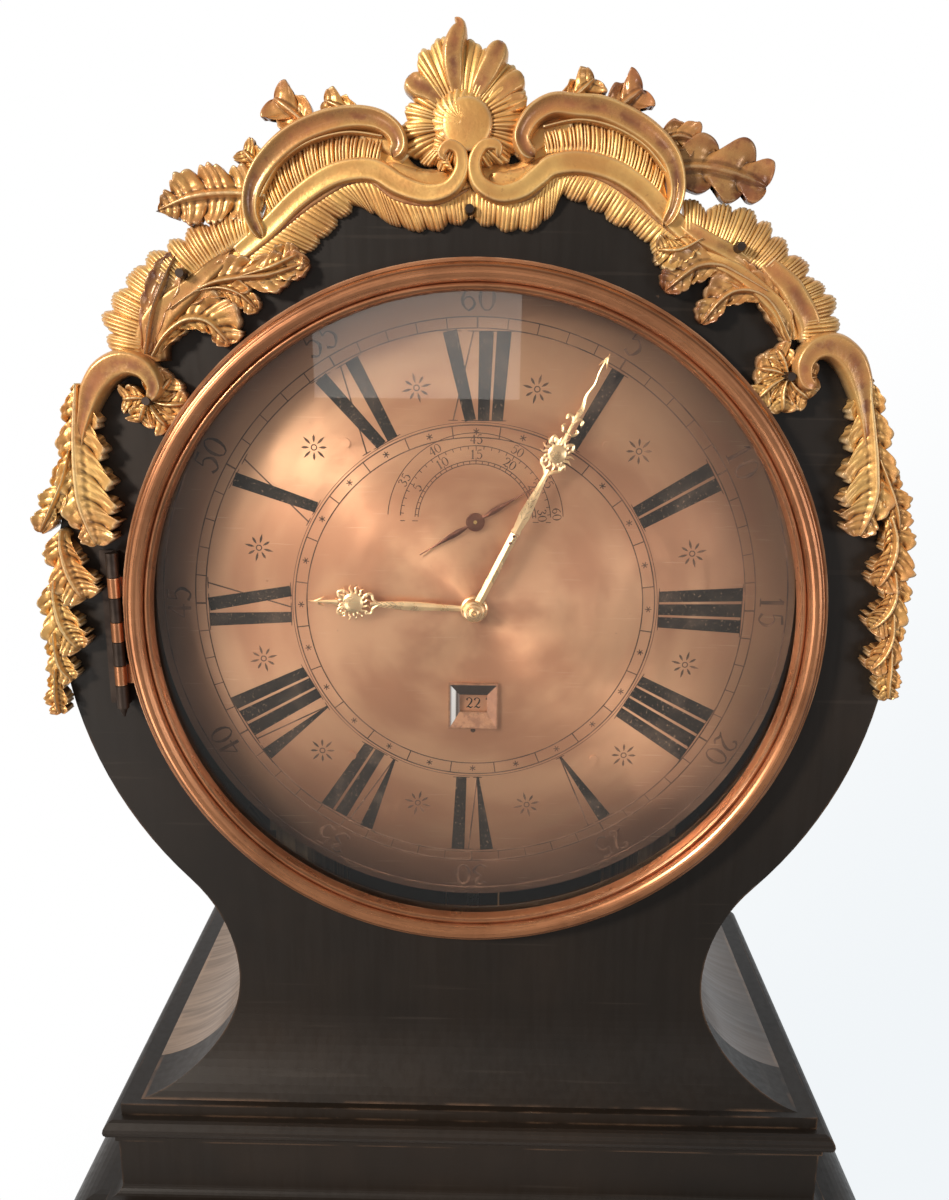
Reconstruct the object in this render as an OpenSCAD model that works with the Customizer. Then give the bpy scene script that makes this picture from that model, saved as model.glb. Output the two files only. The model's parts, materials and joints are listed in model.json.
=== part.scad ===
/* [Case] */
// Width of the base over its skirt
base_w = 468; // [452:1:470]
// Depth of the clock from front to wall
case_d = 260; // [250:1:280]
// Height of the middle of the round door above the floor
door_z = 1780; // [1760:1:1820]
// Width of the trunk at its top
trunk_top_w = 424; // [410:1:430]
// Width of the trunk at its foot
trunk_foot_w = 424; // [400:1:424]
// Thickness of the case boards
board_t = 14; // [12:1:16]

/* [Hood] */
// Radius of the round head
head_r = 217; // [214:1:224]
// Half of the width across the narrowest part of the neck
neck_w = 132; // [130:1:136]
// How far the narrowest part of the neck lies below the middle of the door
neck_drop = 211; // [208:1:214]
// Width of the plinth fascia
plinth_w = 396; // [390:1:400]
// Thickness of the bent shell
shell_t = 8; // [6:0.5:8]
// Radius of the opening behind the door
opening_r = 172; // [171:0.5:174]

/* [Round door] */
// Outer radius of the moulded ring
ring_r = 180; // [179:0.5:182]
// Radius of the glass that shows
sight_r = 165; // [163:0.5:166]
// Thickness of the glass
glass_t = 2.5; // [2:0.1:3]
// Radius of the hinge knuckles
knuckle_r = 3.1; // [2.8:0.1:3.3]

/* [Dial] */
// Radius of the dial
dial_r = 170; // [168:0.5:172]
// Thickness of the dial sheet
dial_t = 2; // [1.5:0.1:2.4]
// How far the dial's middle stands above the door's middle
dial_rise = 5; // [4:0.5:6]
// Distance from the middle to the seconds arbor
seconds_up = 46; // [46:0.5:46]
// Length of the minute hand
minute_l = 147; // [140:1:150]
// Length of the hour hand
hour_l = 88; // [84:1:92]
// Minutes that the hands show past nine
shown_minutes = 4.4; // [0:0.1:10]

/* [Train] */
// Module of the going train
train_m = 0.8; // [0.8:0.1:0.8]
// Module of the great wheel
great_m = 1.1; // [1.1:0.1:1.1]
// Gap between the movement plates
plate_gap = 42; // [42:1:42]
// Thickness of the movement plates
plate_t = 3.5; // [3:0.5:4]
// Radius of the line drum
drum_r = 16; // [14:0.5:18]

/* [Pendulum and weight] */
// Distance from the bending point to the middle of the bob
pendulum_l = 994; // [980:1:1000]
// Radius of the bob
bob_r = 75; // [65:1:80]
// Height of the weight
weight_h = 200; // [180:1:220]
// Radius of the weight
weight_r = 30; // [26:1:30]
// Height of the weight's top above the floor at rest
weight_top = 1250; // [1150:10:1280]

/* [Hidden] */
$fn = 96;

// Colours
ebony = "#241d18";
copper = "#8a5a3c";
gilt = "#c99a3a";
brass = "#b8923f";
steel = "#7d8086";
dial_copper = "#b88563";

// Planes from front to back
wall_y = case_d / 2;
trunk_y = -112;
base_y = -122;
plinth_y = -115;
front_y = -87;
front_back_y = front_y + board_t;
ring_back_y = front_y - 0.5;
hinge_y = -95;
hinge_x = -183.5;
dial_y = -71;
plate_y = -35;
back_plate_y = plate_y + plate_t + plate_gap;
back_board_t = 20;
hood_back_y = wall_y - back_board_t - 0.6;
pendulum_y = 46;
line_y = -12;
cock_y = 34;

// Heights
centre_z = door_z + dial_rise;
plinth_z = door_z - 340;
neck_z = door_z - neck_drop;
base_h = 340;
shoulder_h = 58;
trunk_top_z = plinth_z - shoulder_h;

// Train places, measured from the dial's middle
tooth = [0.9, 1.25, 0.19, 0.07, 0.27];
leaf = [0.6, 1.4, 0.15, 0.08, 0.20];
work = [0.8, 1.1, 0.20, 0.09, 0.27];
centre_n = 64;
third_n = 60;
great_n = 96;
pinion_n = 8;
escape_n = 30;
escape_r = 20;
centre_third = train_m * (centre_n + pinion_n) / 2;
third_escape = train_m * (third_n + pinion_n) / 2;
great_centre = great_m * (great_n + pinion_n) / 2;
third_up = (centre_third * centre_third - third_escape * third_escape + seconds_up * seconds_up)
           / (2 * seconds_up);
third_side = sqrt(centre_third * centre_third - third_up * third_up);
pallet_up = seconds_up + escape_r * sqrt(2);
motion_d = 32;
cannon_n = 30;
motion_n = 40;
hour_n = 72;
day_n = 60;
cannon_m = 2 * motion_d / (cannon_n + motion_n);
hour_m = 2 * motion_d / (hour_n + pinion_n);
day_m = 0.75;
day_d = day_m * (cannon_n + day_n) / 2;
day_at = 225;
pivot_r = 1.5;
pivot_gap = 0.05;
seat_z = centre_z - 118;
line_r = 0.6;
line_x = drum_r + line_r + 0.3;

// Neck: the upper cove touches the head, the lower one flares to the plinth
cove_r = (neck_w * neck_w + neck_drop * neck_drop - head_r * head_r) / (2 * (head_r - neck_w));
flare_h = 66;
flare_out = 54;
flare_r = (flare_h * flare_h + flare_out * flare_out) / (2 * flare_out);
apron_out = 22;
apron_h = 45;
apron_r = (apron_h * apron_h + apron_out * apron_out) / (2 * apron_out);
plinth_top_z = neck_z - flare_h;
touch = head_r / (head_r + cove_r);
touch_x = (neck_w + cove_r) * touch;
touch_z = neck_drop * touch;

// A flat shape drawn as seen from the front, made solid from y_front backwards
module slab(y_front, depth) {
    translate([0, y_front + depth, 0])
        rotate([90, 0, 0])
            linear_extrude(depth)
                children();
}

// A round bar that runs from front to back
module bar(y_front, depth, x, z, r) {
    translate([x, y_front + depth, z])
        rotate([90, 0, 0])
            cylinder(h = depth, r = r, $fn = 48);
}

// A round bar with a hole along it
module pipe(y_front, depth, x, z, r, hole) {
    difference() {
        bar(y_front, depth, x, z, r);
        bar(y_front - 1, depth + 2, x, z, hole);
    }
}

// A board given by its lowest and highest corners
module block(low, high) {
    translate(low)
        cube(high - low);
}

function polar(r, a) = [r * cos(a), r * sin(a)];
function arc(c, r, a0, a1, n) = [for (i = [0:n]) c + polar(r, a0 + (a1 - a0) * i / n)];

// A smooth path through hand-placed points
function along(p, i, t) =
    let (a = p[max(i - 1, 0)], b = p[i], c = p[i + 1], d = p[min(i + 2, len(p) - 1)])
    0.5 * (2 * b + (c - a) * t + (2 * a - 5 * b + 4 * c - d) * t * t
           + (3 * b - a - 3 * c + d) * t * t * t);
function path(p, n) = [for (i = [0:len(p) - 2]) for (k = [0:n - 1]) along(p, i, k / n),
                       p[len(p) - 1]];
function side(p, i) =
    let (d = p[min(i + 1, len(p) - 1)] - p[max(i - 1, 0)])
    [-d[1], d[0]] / norm(d);

// Outline of a band along a path, with half widths on its left and right
function band(p, left, right) = concat(
    [for (i = [0:len(p) - 1]) p[i] + side(p, i) * left[i]],
    [for (i = [len(p) - 1:-1:0]) p[i] - side(p, i) * right[i]]);
function taper(n, a, b) = [for (i = [0:n - 1]) a + (b - a) * i / (n - 1)];
function scallops(n, count, low, high) =
    [for (i = [0:n - 1]) low + (high - low) * abs(sin(180 * count * i / (n - 1)))];

// Toothed wheel outline: form gives tip, root and three half widths in pitches
function gear_points(n, m, form) = [
    for (i = [0:n - 1])
        for (q = [[-form[1], -form[4]], [0, -form[2]], [form[0], -form[3]],
                  [form[0], form[3]], [0, form[2]], [-form[1], form[4]]])
            polar(m * n / 2 + q[0] * m, (i + q[1]) * 360 / n)];

module gear(y_front, thick, x, z, n, m, form, turn) {
    slab(y_front, thick)
        translate([x, centre_z + z])
            rotate(turn)
                polygon(gear_points(n, m, form));
}

// Wheel with a rim, spokes and a hub left standing
module crossings(y_front, thick, x, z, r_in, r_out, spokes, spoke_w) {
    slab(y_front - 1, thick + 2)
        translate([x, centre_z + z])
            difference() {
                circle(r_out);
                circle(r_in);
                for (k = [0:spokes - 1])
                    rotate(k * 360 / spokes)
                        translate([0, -spoke_w / 2])
                            square([r_out + 1, spoke_w]);
            }
}

// Moulding that runs round the front and both sides; steps are [outward, height] pairs
module moulding(half_w, y, y_back, steps) {
    last = len(steps) - 1;
    intersection() {
        translate([0, y_back, 0])
            rotate([90, 0, 0])
                linear_extrude(y_back - y + 60)
                    polygon(concat([for (s = steps) [half_w + s[0], s[1]]],
                                   [for (i = [last:-1:0]) [-half_w - steps[i][0], steps[i][1]]]));
        rotate([90, 0, 90])
            translate([0, 0, -half_w - 60])
                linear_extrude(2 * half_w + 120)
                    polygon(concat([for (s = steps) [y - s[0], s[1]]],
                                   [[y_back, steps[last][1]], [y_back, steps[0][1]]]));
    }
}

// Case

// Back board that follows the hood's outline and closes it behind
module back_outline() {
    foot = trunk_foot_w / 2 - board_t;
    top = trunk_top_w / 2 - board_t;
    hood_outline(3);
    translate([-plinth_w / 2 + 3, plinth_z - 1])
        square([plinth_w - 6, plinth_top_z - plinth_z + 2]);
    polygon([[-foot, 24], [foot, 24], [foot, base_h - 40], [top, trunk_top_z], [top, plinth_z],
             [-top, plinth_z], [-top, trunk_top_z], [-foot, base_h - 40]]);
}

module back_board() {
    color(ebony)
        slab(wall_y - back_board_t, back_board_t)
            back_outline();
}

module trunk_sides() {
    foot = trunk_foot_w / 2;
    top = trunk_top_w / 2;
    color(ebony)
        for (s = [-1, 1])
            slab(trunk_y + board_t, wall_y - trunk_y - board_t)
                polygon([[s * foot, base_h - 40], [s * top, trunk_top_z],
                         [s * top, plinth_z - 20], [s * (top - board_t), plinth_z - 20],
                         [s * (top - board_t), trunk_top_z],
                         [s * (foot - board_t), base_h - 40]]);
}

door_low = 520;
door_high = 1325;
door_half = 118;

module trunk_front() {
    foot = trunk_foot_w / 2;
    top = trunk_top_w / 2;
    color(ebony)
        slab(trunk_y, board_t)
            difference() {
                polygon([[-foot, base_h - 40], [foot, base_h - 40], [top, trunk_top_z],
                         [top, plinth_z - 20], [-top, plinth_z - 20], [-top, trunk_top_z]]);
                translate([-door_half, door_low])
                    square([2 * door_half, door_high - door_low]);
            }
}

// Rounded shoulders above a hollow throat
module trunk_top_moulding() {
    out = 22;
    round_r = 20;
    steps = concat([[0, trunk_top_z]], [[3, trunk_top_z]], [[3, trunk_top_z + 5]],
                   arc([out - 3, trunk_top_z + 5], 16, 180, 90, 8),
                   [[out, trunk_top_z + 21], [out, plinth_z - round_r]],
                   arc([out - round_r, plinth_z - round_r], round_r, 0, 90, 10));
    color(ebony)
        difference() {
            moulding(trunk_top_w / 2, trunk_y + 5, wall_y, steps);
            block([-trunk_top_w / 2, trunk_y, trunk_top_z - 1],
                  [trunk_top_w / 2, wall_y + 1, plinth_z - 20]);
            block([-neck_w, -80, trunk_top_z - 1], [neck_w, wall_y - back_board_t, plinth_z + 1]);
            block([-trunk_top_w / 2 + board_t, wall_y - back_board_t, trunk_top_z - 1],
                  [trunk_top_w / 2 - board_t, wall_y + 1, plinth_z + 1]);
        }
}

base_half = 222;

module base_panels() {
    front = base_y;
    color(ebony)
        union() {
            difference() {
                block([-base_half, front, 24], [base_half, wall_y, base_h - 40]);
                block([-base_half + board_t, front + board_t, 40],
                      [base_half - board_t, wall_y - back_board_t, base_h]);
                block([-trunk_foot_w / 2 + board_t, wall_y - back_board_t - 1, 20],
                      [trunk_foot_w / 2 - board_t, wall_y + 1, base_h]);
            }
            // Raised field on the front
            block([-base_half + 50, front - 4, 120], [base_half - 50, front, base_h - 80]);
        }
}

// Hollow cap between the base and the foot of the trunk
module base_cap_moulding() {
    foot = trunk_foot_w / 2;
    hollow_r = base_half - foot;
    low = base_h - 40;
    steps = concat([[0, low], [4, low]], arc([4, low + 4], 4, -90, 90, 8),
                   [[0, low + 8], [0, low + 12]],
                   arc([0, low + 12 + hollow_r], hollow_r, 270, 190, 10),
                   [[-hollow_r, low + 8 + hollow_r]]);
    color(ebony)
        difference() {
            moulding(base_half, base_y, wall_y, steps);
            block([-foot, trunk_y, low - 1], [foot, wall_y + 1, base_h + 20]);
        }
}

// Skirt with bracket feet cut out below
module plinth_skirt() {
    steps = concat([[0, 0], [base_w / 2 - base_half, 0], [base_w / 2 - base_half, 46]],
                   arc([2, 46], base_w / 2 - base_half - 2, 0, 90, 8), [[0, 58]]);
    color(ebony)
        difference() {
            moulding(base_half, -wall_y + base_w / 2 - base_half, wall_y, steps);
            block([-base_half, base_y, 24], [base_half, wall_y + 1, 60]);
            block([-base_half + 6, base_y + 10, -1], [base_half - 6, wall_y + 1, 25]);
            slab(-wall_y - 1, 2 * wall_y + 2)
                polygon(concat([[150, -1], [150, 8]], arc([130, 8], 20, 0, 90, 8),
                               arc([-130, 8], 20, 90, 180, 8), [[-150, 8], [-150, -1]]));
            rotate([90, 0, 90])
                translate([0, 0, -base_w])
                    linear_extrude(2 * base_w)
                        polygon(concat([[70, -1], [70, 8]], arc([50, 8], 20, 0, 90, 8),
                                       arc([-50, 8], 20, 90, 180, 8), [[-70, 8], [-70, -1]]));
        }
}

// Two uprights in the neck and the rails that they stand on
module seat_cheeks() {
    cheek_x = 98;
    color("#6b4a2e") {
        for (s = [-1, 1])
            block([s > 0 ? cheek_x : -cheek_x - 18, -50, trunk_top_z + 20],
                  [s > 0 ? cheek_x + 18 : -cheek_x, wall_y - back_board_t, seat_z - 22]);
        for (y = [[-58, -34], [86, wall_y - back_board_t]])
            block([-trunk_top_w / 2 + board_t, y[0], trunk_top_z - 4],
                  [trunk_top_w / 2 - board_t, y[1], trunk_top_z + 20]);
    }
}

// Seat with a slot for the driven line and a peg that holds the line's fixed end
module seat_board() {
    color("#6b4a2e")
        union() {
            difference() {
                block([-118, -56, seat_z - 22], [118, 34, seat_z]);
                block([-28, line_y - 8, seat_z - 23], [-6, line_y + 8, seat_z + 1]);
                translate([line_x, line_y, seat_z - 23])
                    cylinder(h = 24, r = 1.6, $fn = 24);
            }
            bar(line_y - 9, 18, line_x, seat_z + 2, 2);
        }
}

runner_x = plinth_w / 2 - 20;

module hood_runners() {
    color("#6b4a2e")
        for (s = [-1, 1])
            block([s * runner_x - 4, -70, plinth_z], [s * runner_x + 4, 104, plinth_z + 14]);
}

// Movement frame

plate_low = 118;
plate_high = 100;
plate_half = 76;
pillar_at = [[62, -105], [-62, -105], [62, 64], [-62, 64]];
foot_at = [[67, 86], [-67, 86], [67, -86], [-67, -86]];

module plate_outline() {
    translate([-plate_half, centre_z - plate_low])
        square([2 * plate_half, plate_low + plate_high]);
}

module train_holes(y_front, thick, r) {
    bar(y_front - 1, thick + 2, 0, centre_z, r);
    bar(y_front - 1, thick + 2, third_side, centre_z + third_up, r);
    bar(y_front - 1, thick + 2, 0, centre_z - great_centre, r + 1);
}

module front_plate() {
    color(brass)
        difference() {
            slab(plate_y, plate_t)
                plate_outline();
            train_holes(plate_y, plate_t, pivot_r + pivot_gap);
            bar(plate_y - 1, plate_t + 2, 0, centre_z + seconds_up, 1 + pivot_gap);
            bar(plate_y - 1, plate_t + 2, 0, centre_z + pallet_up, 1 + pivot_gap);
        }
}

module back_plate() {
    color(brass)
        difference() {
            slab(back_plate_y, plate_t)
                plate_outline();
            train_holes(back_plate_y, plate_t, pivot_r + pivot_gap);
            bar(back_plate_y - 1, plate_t + 2, 0, centre_z + seconds_up, 1 + pivot_gap);
            bar(back_plate_y - 1, plate_t + 2, 0, centre_z + pallet_up, 5);
        }
}

module plate_pillars() {
    mid = plate_y + plate_t;
    color(brass)
        for (p = pillar_at)
            translate([p[0], mid, centre_z + p[1]])
                rotate([-90, 0, 0])
                    rotate_extrude()
                        polygon([[0, 0], [6, 0], [6, 3], [4, 4], [4, 9], [5.5, 12], [4, 15],
                                 [3.4, plate_gap / 2], [4, plate_gap - 15],
                                 [5.5, plate_gap - 12], [4, plate_gap - 9],
                                 [4, plate_gap - 4], [6, plate_gap - 3], [6, plate_gap],
                                 [0, plate_gap]]);
}

// Bridge that carries the rear pallet pivot and the pendulum
module back_cock() {
    legs = 24;
    foot_y = back_plate_y + plate_t;
    color(brass)
        difference() {
            union() {
                for (s = [-1, 1])
                    block([s * legs - 4, foot_y, centre_z + pallet_up - 6],
                          [s * legs + 4, cock_y, centre_z + pallet_up + 6]);
                slab(cock_y, 4)
                    translate([0, centre_z + pallet_up])
                        union() {
                            translate([-28, -6])
                                square([56, 12]);
                            translate([-9, 0])
                                square([18, 20]);
                        }
                block([-6, cock_y + 4, centre_z + pallet_up + 10],
                      [6, pendulum_y + 8, centre_z + pallet_up + 20]);
            }
            bar(cock_y - 1, 6, 0, centre_z + pallet_up, 1 + pivot_gap);
            block([-1.2, pendulum_y - 6, centre_z + pallet_up + 9],
                  [1.2, pendulum_y + 9, centre_z + pallet_up + 21]);
        }
}

// Dial and what lies behind it

date_down = 54.5;
date_w = 15;
date_h = 10;

module dial() {
    color(dial_copper)
        difference() {
            slab(dial_y, dial_t)
                difference() {
                    translate([0, centre_z])
                        circle(dial_r, $fn = 180);
                    translate([-date_w / 2, centre_z - date_down - date_h / 2])
                        square([date_w, date_h]);
                }
            bar(dial_y - 1, dial_t + 2, 0, centre_z, 5.5);
            bar(dial_y - 1, dial_t + 2, 0, centre_z + seconds_up, 2.2);
            bar(dial_y - 1, dial_t + 2, 0, centre_z - 70, 1);
        }
}

module dial_feet() {
    color(brass)
        for (p = foot_at) {
            bar(dial_y + dial_t, plate_y - dial_y - dial_t, p[0], centre_z + p[1], 3);
            bar(dial_y - 0.8, 0.8, p[0], centre_z + p[1], 2.4);
        }
}

// Bevelled frame round the date window
module date_frame() {
    rise = 1.4;
    color(dial_copper)
        difference() {
            slab(dial_y - rise, rise)
                translate([-13.5, centre_z - date_down - 13])
                    square([27, 26]);
            slab(dial_y - rise - 1, rise + 2)
                translate([-date_w / 2, centre_z - date_down - date_h / 2])
                    square([date_w, date_h]);
        }
}

ring_out = 62;
guide_r = 3;
guide_at = [90 + 60, 30, 270 + 60, 210];

// Posts on the dial that guide the date ring, and posts on the plate for two wheels
module under_dial_studs() {
    color(steel) {
        for (a = guide_at)
            let (p = polar(ring_out + guide_r + 0.3, a)) {
                bar(dial_y + dial_t, 3.6, p[0], centre_z + p[1], guide_r);
                bar(dial_y + dial_t + 3.2, 0.8, p[0], centre_z + p[1], guide_r + 1.6);
            }
        bar(plate_y - 12, 12, motion_d, centre_z, pivot_r);
        let (p = polar(day_d, day_at))
            bar(plate_y - 17, 17, p[0], centre_z + p[1], pivot_r);
    }
}

date_teeth = 31;

// Ring of thirty-one saw teeth, moved one tooth a day
module date_ring() {
    tip = 47.8;
    root = 49.4;
    color("#c8a084")
        slab(dial_y + dial_t + 0.6, 2)
            translate([0, centre_z])
                difference() {
                    circle(ring_out, $fn = 124);
                    polygon([for (i = [0:date_teeth - 1])
                                for (q = [[tip, -0.08], [tip, 0.08], [root, 0.3], [root, 0.7]])
                                    polar(q[0], (i + q[1]) * 360 / date_teeth)]);
                }
}

// Going train

module arbor(y_front, y_end, x, z, r, nose) {
    inner_front = plate_y + plate_t + 0.4;
    inner_back = back_plate_y - 0.4;
    bar(inner_front, inner_back - inner_front, x, centre_z + z, r);
    bar(y_front, y_end - y_front, x, centre_z + z, nose);
}

centre_y = -8;
third_y = -15;
escape_y = -27;
great_y = -23;
third_turn = atan2(third_up, third_side);
back_turn = atan2(seconds_up - third_up, -third_side);

module centre_wheel() {
    color(brass)
        union() {
            difference() {
                gear(centre_y, 2, 0, 0, centre_n, train_m, tooth, third_turn);
                crossings(centre_y, 2, 0, 0, 7, 21, 5, 2.6);
            }
            gear(great_y - 1, 6, 0, 0, pinion_n, great_m, leaf, -90 + 180 / pinion_n);
            arbor(-84, back_plate_y + plate_t, 0, 0, 2, pivot_r);
        }
}

module cannon_wheel() {
    color(brass)
        difference() {
            union() {
                gear(plate_y - 5, 2, 0, 0, cannon_n, cannon_m, work, 0);
                bar(-80.2, plate_y - 0.6 + 80.2, 0, centre_z, 3);
            }
            bar(-90, 60, 0, centre_z, pivot_r);
        }
}

module hour_wheel() {
    color(brass)
        difference() {
            union() {
                gear(plate_y - 10, 2, 0, 0, hour_n, hour_m, tooth, 0);
                gear(plate_y - 16, 2, 0, 0, cannon_n, day_m, work, day_at);
                bar(-77.2, 77.2 + plate_y - 8, 0, centre_z, 4.5);
            }
            crossings(plate_y - 10, 2, 0, 0, 9, 24, 4, 3);
            bar(-90, 60, 0, centre_z, 3 + pivot_gap);
        }
}

module minute_wheel() {
    color(brass)
        difference() {
            union() {
                gear(plate_y - 5, 2, motion_d, 0, motion_n, cannon_m, work,
                     180 + 180 / motion_n);
                gear(plate_y - 11, 6, motion_d, 0, pinion_n, hour_m, leaf,
                     180 + 180 / pinion_n);
            }
            crossings(plate_y - 5, 2, motion_d, 0, 6, 14, 4, 2.4);
            bar(plate_y - 12, 12, motion_d, centre_z, pivot_r + pivot_gap);
        }
}

// Turns once a day; its pin stops just short of the ring's teeth
module day_wheel() {
    p = polar(day_d, day_at);
    pin_at = p + polar(12.4, day_at + 90);
    color(brass)
        difference() {
            union() {
                gear(plate_y - 16, 2, p[0], p[1], day_n, day_m, work,
                     day_at + 180 + 180 / day_n);
                bar(dial_y + dial_t + 1, plate_y - 16 - dial_y - dial_t - 1,
                    pin_at[0], centre_z + pin_at[1], 0.8);
            }
            bar(plate_y - 18, 12, p[0], centre_z + p[1], pivot_r + pivot_gap);
        }
}

module third_wheel() {
    color(brass)
        union() {
            difference() {
                gear(third_y, 2, third_side, third_up, third_n, train_m, tooth, back_turn);
                crossings(third_y, 2, third_side, third_up, 6, 19.5, 5, 2.4);
            }
            gear(centre_y - 1, 5, third_side, third_up, pinion_n, train_m, leaf,
                 third_turn + 180 + 180 / pinion_n);
            arbor(plate_y, back_plate_y + plate_t, third_side, third_up, 1.8, pivot_r);
        }
}

// Thirty pointed teeth that lean against the pallets
module escape_wheel() {
    color(brass)
        union() {
            difference() {
                slab(escape_y, 1.5)
                    translate([0, centre_z + seconds_up])
                        polygon([for (i = [0:escape_n - 1])
                                    for (q = [[16.6, -0.42], [escape_r, -0.06],
                                              [escape_r, 0.02], [16.6, 0.3]])
                                        polar(q[0], 90 - (i + 0.25 + q[1]) * 360 / escape_n)]);
                crossings(escape_y, 1.5, 0, seconds_up, 5, 14.4, 5, 2);
            }
            gear(third_y - 1, 5, 0, seconds_up, pinion_n, train_m, leaf,
                 back_turn + 180 + 180 / pinion_n);
            arbor(dial_y - 2.6, back_plate_y + plate_t, 0, seconds_up, 1.4, 1);
        }
}

// Runs loose on the drum's arbor and is driven through a click
module great_wheel() {
    color(brass)
        difference() {
            gear(great_y, 4, 0, -great_centre, great_n, great_m, tooth, 90);
            crossings(great_y, 4, 0, -great_centre, 24, 47, 6, 5);
            bar(great_y - 1, 6, 0, centre_z - great_centre, 4 + pivot_gap);
        }
}

// Drum with flanges on its arbor, and the collet that keeps the great wheel on it
module line_drum() {
    low = great_y + 4.3;
    long = back_plate_y - 3 - low;
    color(brass)
        union() {
            translate([0, low, centre_z - great_centre])
                rotate([-90, 0, 0])
                    rotate_extrude()
                        polygon([[0, 0], [drum_r + 5, 0], [drum_r + 5, 2], [drum_r, 2],
                                 [drum_r, long - 2], [drum_r + 5, long - 2],
                                 [drum_r + 5, long], [0, long]]);
            bar(great_y - 3.3, 3, 0, centre_z - great_centre, 9);
            arbor(plate_y, back_plate_y + plate_t, 0, -great_centre, 4, pivot_r + 1);
        }
}

// Hands

minute_turn = shown_minutes * 6;
hour_turn = 270 + shown_minutes / 2;

// A sun with straight rays, as drawn in the middle of both hands
module sun(r_in, r_out, rays) {
    circle(r_in, $fn = 32);
    polygon([for (i = [0:2 * rays - 1]) polar(i % 2 == 0 ? r_out : r_in * 0.9,
                                              i * 180 / rays)]);
}

// Small scrolls that flank a hand, one pair at a height
module scroll_pair(z, out, r) {
    for (s = [-1, 1])
        translate([s * out, z])
            difference() {
                circle(r, $fn = 24);
                circle(r * 0.42, $fn = 24);
            }
}

module minute_outline() {
    difference() {
        union() {
            circle(6.6);
            polygon([[-1.9, 0], [1.9, 0], [3.2, 48], [1.5, 52], [2.2, 57], [1.3, 84],
                     [-1.3, 84], [-2.2, 57], [-1.5, 52], [-3.2, 48]]);
            translate([0, 93])
                sun(5.2, 9.4, 16);
            scroll_pair(104, 2.7, 2.4);
            scroll_pair(109, 2.5, 2.2);
            polygon([[-1.2, 98], [1.2, 98], [1.6, 114], [3.4, 108], [2.6, 117], [1.2, 122],
                     [1.5, 128], [0.8, 134], [2.6, 131.5], [0, minute_l], [-2.6, 131.5],
                     [-0.8, 134], [-1.5, 128], [-1.2, 122], [-2.6, 117], [-3.4, 108],
                     [-1.6, 114]]);
        }
        for (z = [41, 45])
            translate([0, z])
                circle(0.8, $fn = 24);
    }
}

module minute_hand() {
    color(gilt)
        difference() {
            union() {
                slab(-80.2, 1.2)
                    translate([0, centre_z])
                        rotate(-minute_turn)
                            minute_outline();
                bar(-81.4, 1.2, 0, centre_z, 5);
                bar(-82.4, 1, 0, centre_z, 3.4);
            }
            bar(-81.4, 6, 0, centre_z, 3);
            bar(-90, 20, 0, centre_z, pivot_r);
        }
}

module hour_outline() {
    circle(8);
    polygon([[-1.9, 0], [1.9, 0], [2.8, 30], [1.4, 33], [1.4, 39], [3.8, 44], [1.2, 52],
             [1.2, 58], [-1.2, 58], [-1.2, 52], [-3.8, 44], [-1.4, 39], [-1.4, 33],
             [-2.8, 30]]);
    translate([0, 36])
        circle(3, $fn = 32);
    translate([0, 64.3])
        sun(5.2, 9.6, 16);
    scroll_pair(50, 3, 2.3);
    scroll_pair(55, 2.6, 2.1);
    scroll_pair(74.6, 2.6, 2.1);
    polygon([[-1.2, 70], [1.2, 70], [1.4, 78], [0.9, 80], [3, 77.8], [0, hour_l],
             [-3, 77.8], [-0.9, 80], [-1.4, 78]]);
}

module hour_hand() {
    color(gilt)
        difference() {
            union() {
                slab(-76.6, 1.2)
                    translate([0, centre_z])
                        rotate(-hour_turn)
                            hour_outline();
                bar(-77.2, 0.6, 0, centre_z, 6.6);
            }
            bar(-90, 30, 0, centre_z, 4.5);
        }
}

module seconds_hand() {
    color("#3a2a20")
        difference() {
            slab(dial_y - 2.4, 0.9)
                translate([0, centre_z + seconds_up])
                    rotate(-57)
                        union() {
                            circle(4.4, $fn = 32);
                            polygon([[-1, 0], [1, 0], [1, 16], [2.3, 21], [0, 34],
                                     [-2.3, 21], [-1, 16]]);
                            polygon([[-1, 0], [1, 0], [1, -16], [2.3, -21], [0, -33],
                                     [-2.3, -21], [-1, -16]]);
                        }
            bar(dial_y - 5, 8, 0, centre_z + seconds_up, 1);
        }
}

// Escapement and pendulum

// Anchor whose tips stay clear of the tooth circle at each end of its swing
module pallet_arbor() {
    clear_r = escape_r + 1.1;
    color(steel)
        union() {
            slab(escape_y - 0.8, 3)
                difference() {
                    translate([0, centre_z + pallet_up])
                        polygon([[-4, 4], [4, 4], [20, -8], [22, -14], [21.6, -17],
                                 [19.2, -13.6], [3, -5], [-3, -5], [-19.2, -13.6],
                                 [-21.6, -17], [-22, -14], [-20, -8]]);
                    translate([0, centre_z + seconds_up])
                        circle(clear_r);
                }
            bar(plate_y, cock_y + 4 - plate_y, 0, centre_z + pallet_up, 1);
            bar(escape_y - 2, 6, 0, centre_z + pallet_up, 3.2);
        }
}

// Arm on the pallet arbor whose fork reaches back round the rod
module crutch() {
    y = 24;
    low = centre_z + pallet_up - 86;
    color(steel)
        union() {
            pipe(y - 2, 6, 0, centre_z + pallet_up, 3.4, 1);
            block([-1.5, y, low], [1.5, y + 2, centre_z + pallet_up - 3]);
            block([-7, y, low - 3], [7, y + 2, low]);
            for (s = [-1, 1])
                block([s > 0 ? 4.05 : -7, y + 2, low - 3], [s > 0 ? 7 : -4.05, 54, low]);
        }
}

// Thin strip in the cock's slit, from which the pendulum hangs
module suspension_spring() {
    color(steel)
        block([-0.2, pendulum_y - 4, centre_z + pallet_up - 14],
              [0.2, pendulum_y + 4, centre_z + pallet_up + 13]);
}

bob_z = centre_z + pallet_up - pendulum_l;
thread_top = bob_z - bob_r - 0.5;
rod_low = thread_top - 34;

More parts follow.
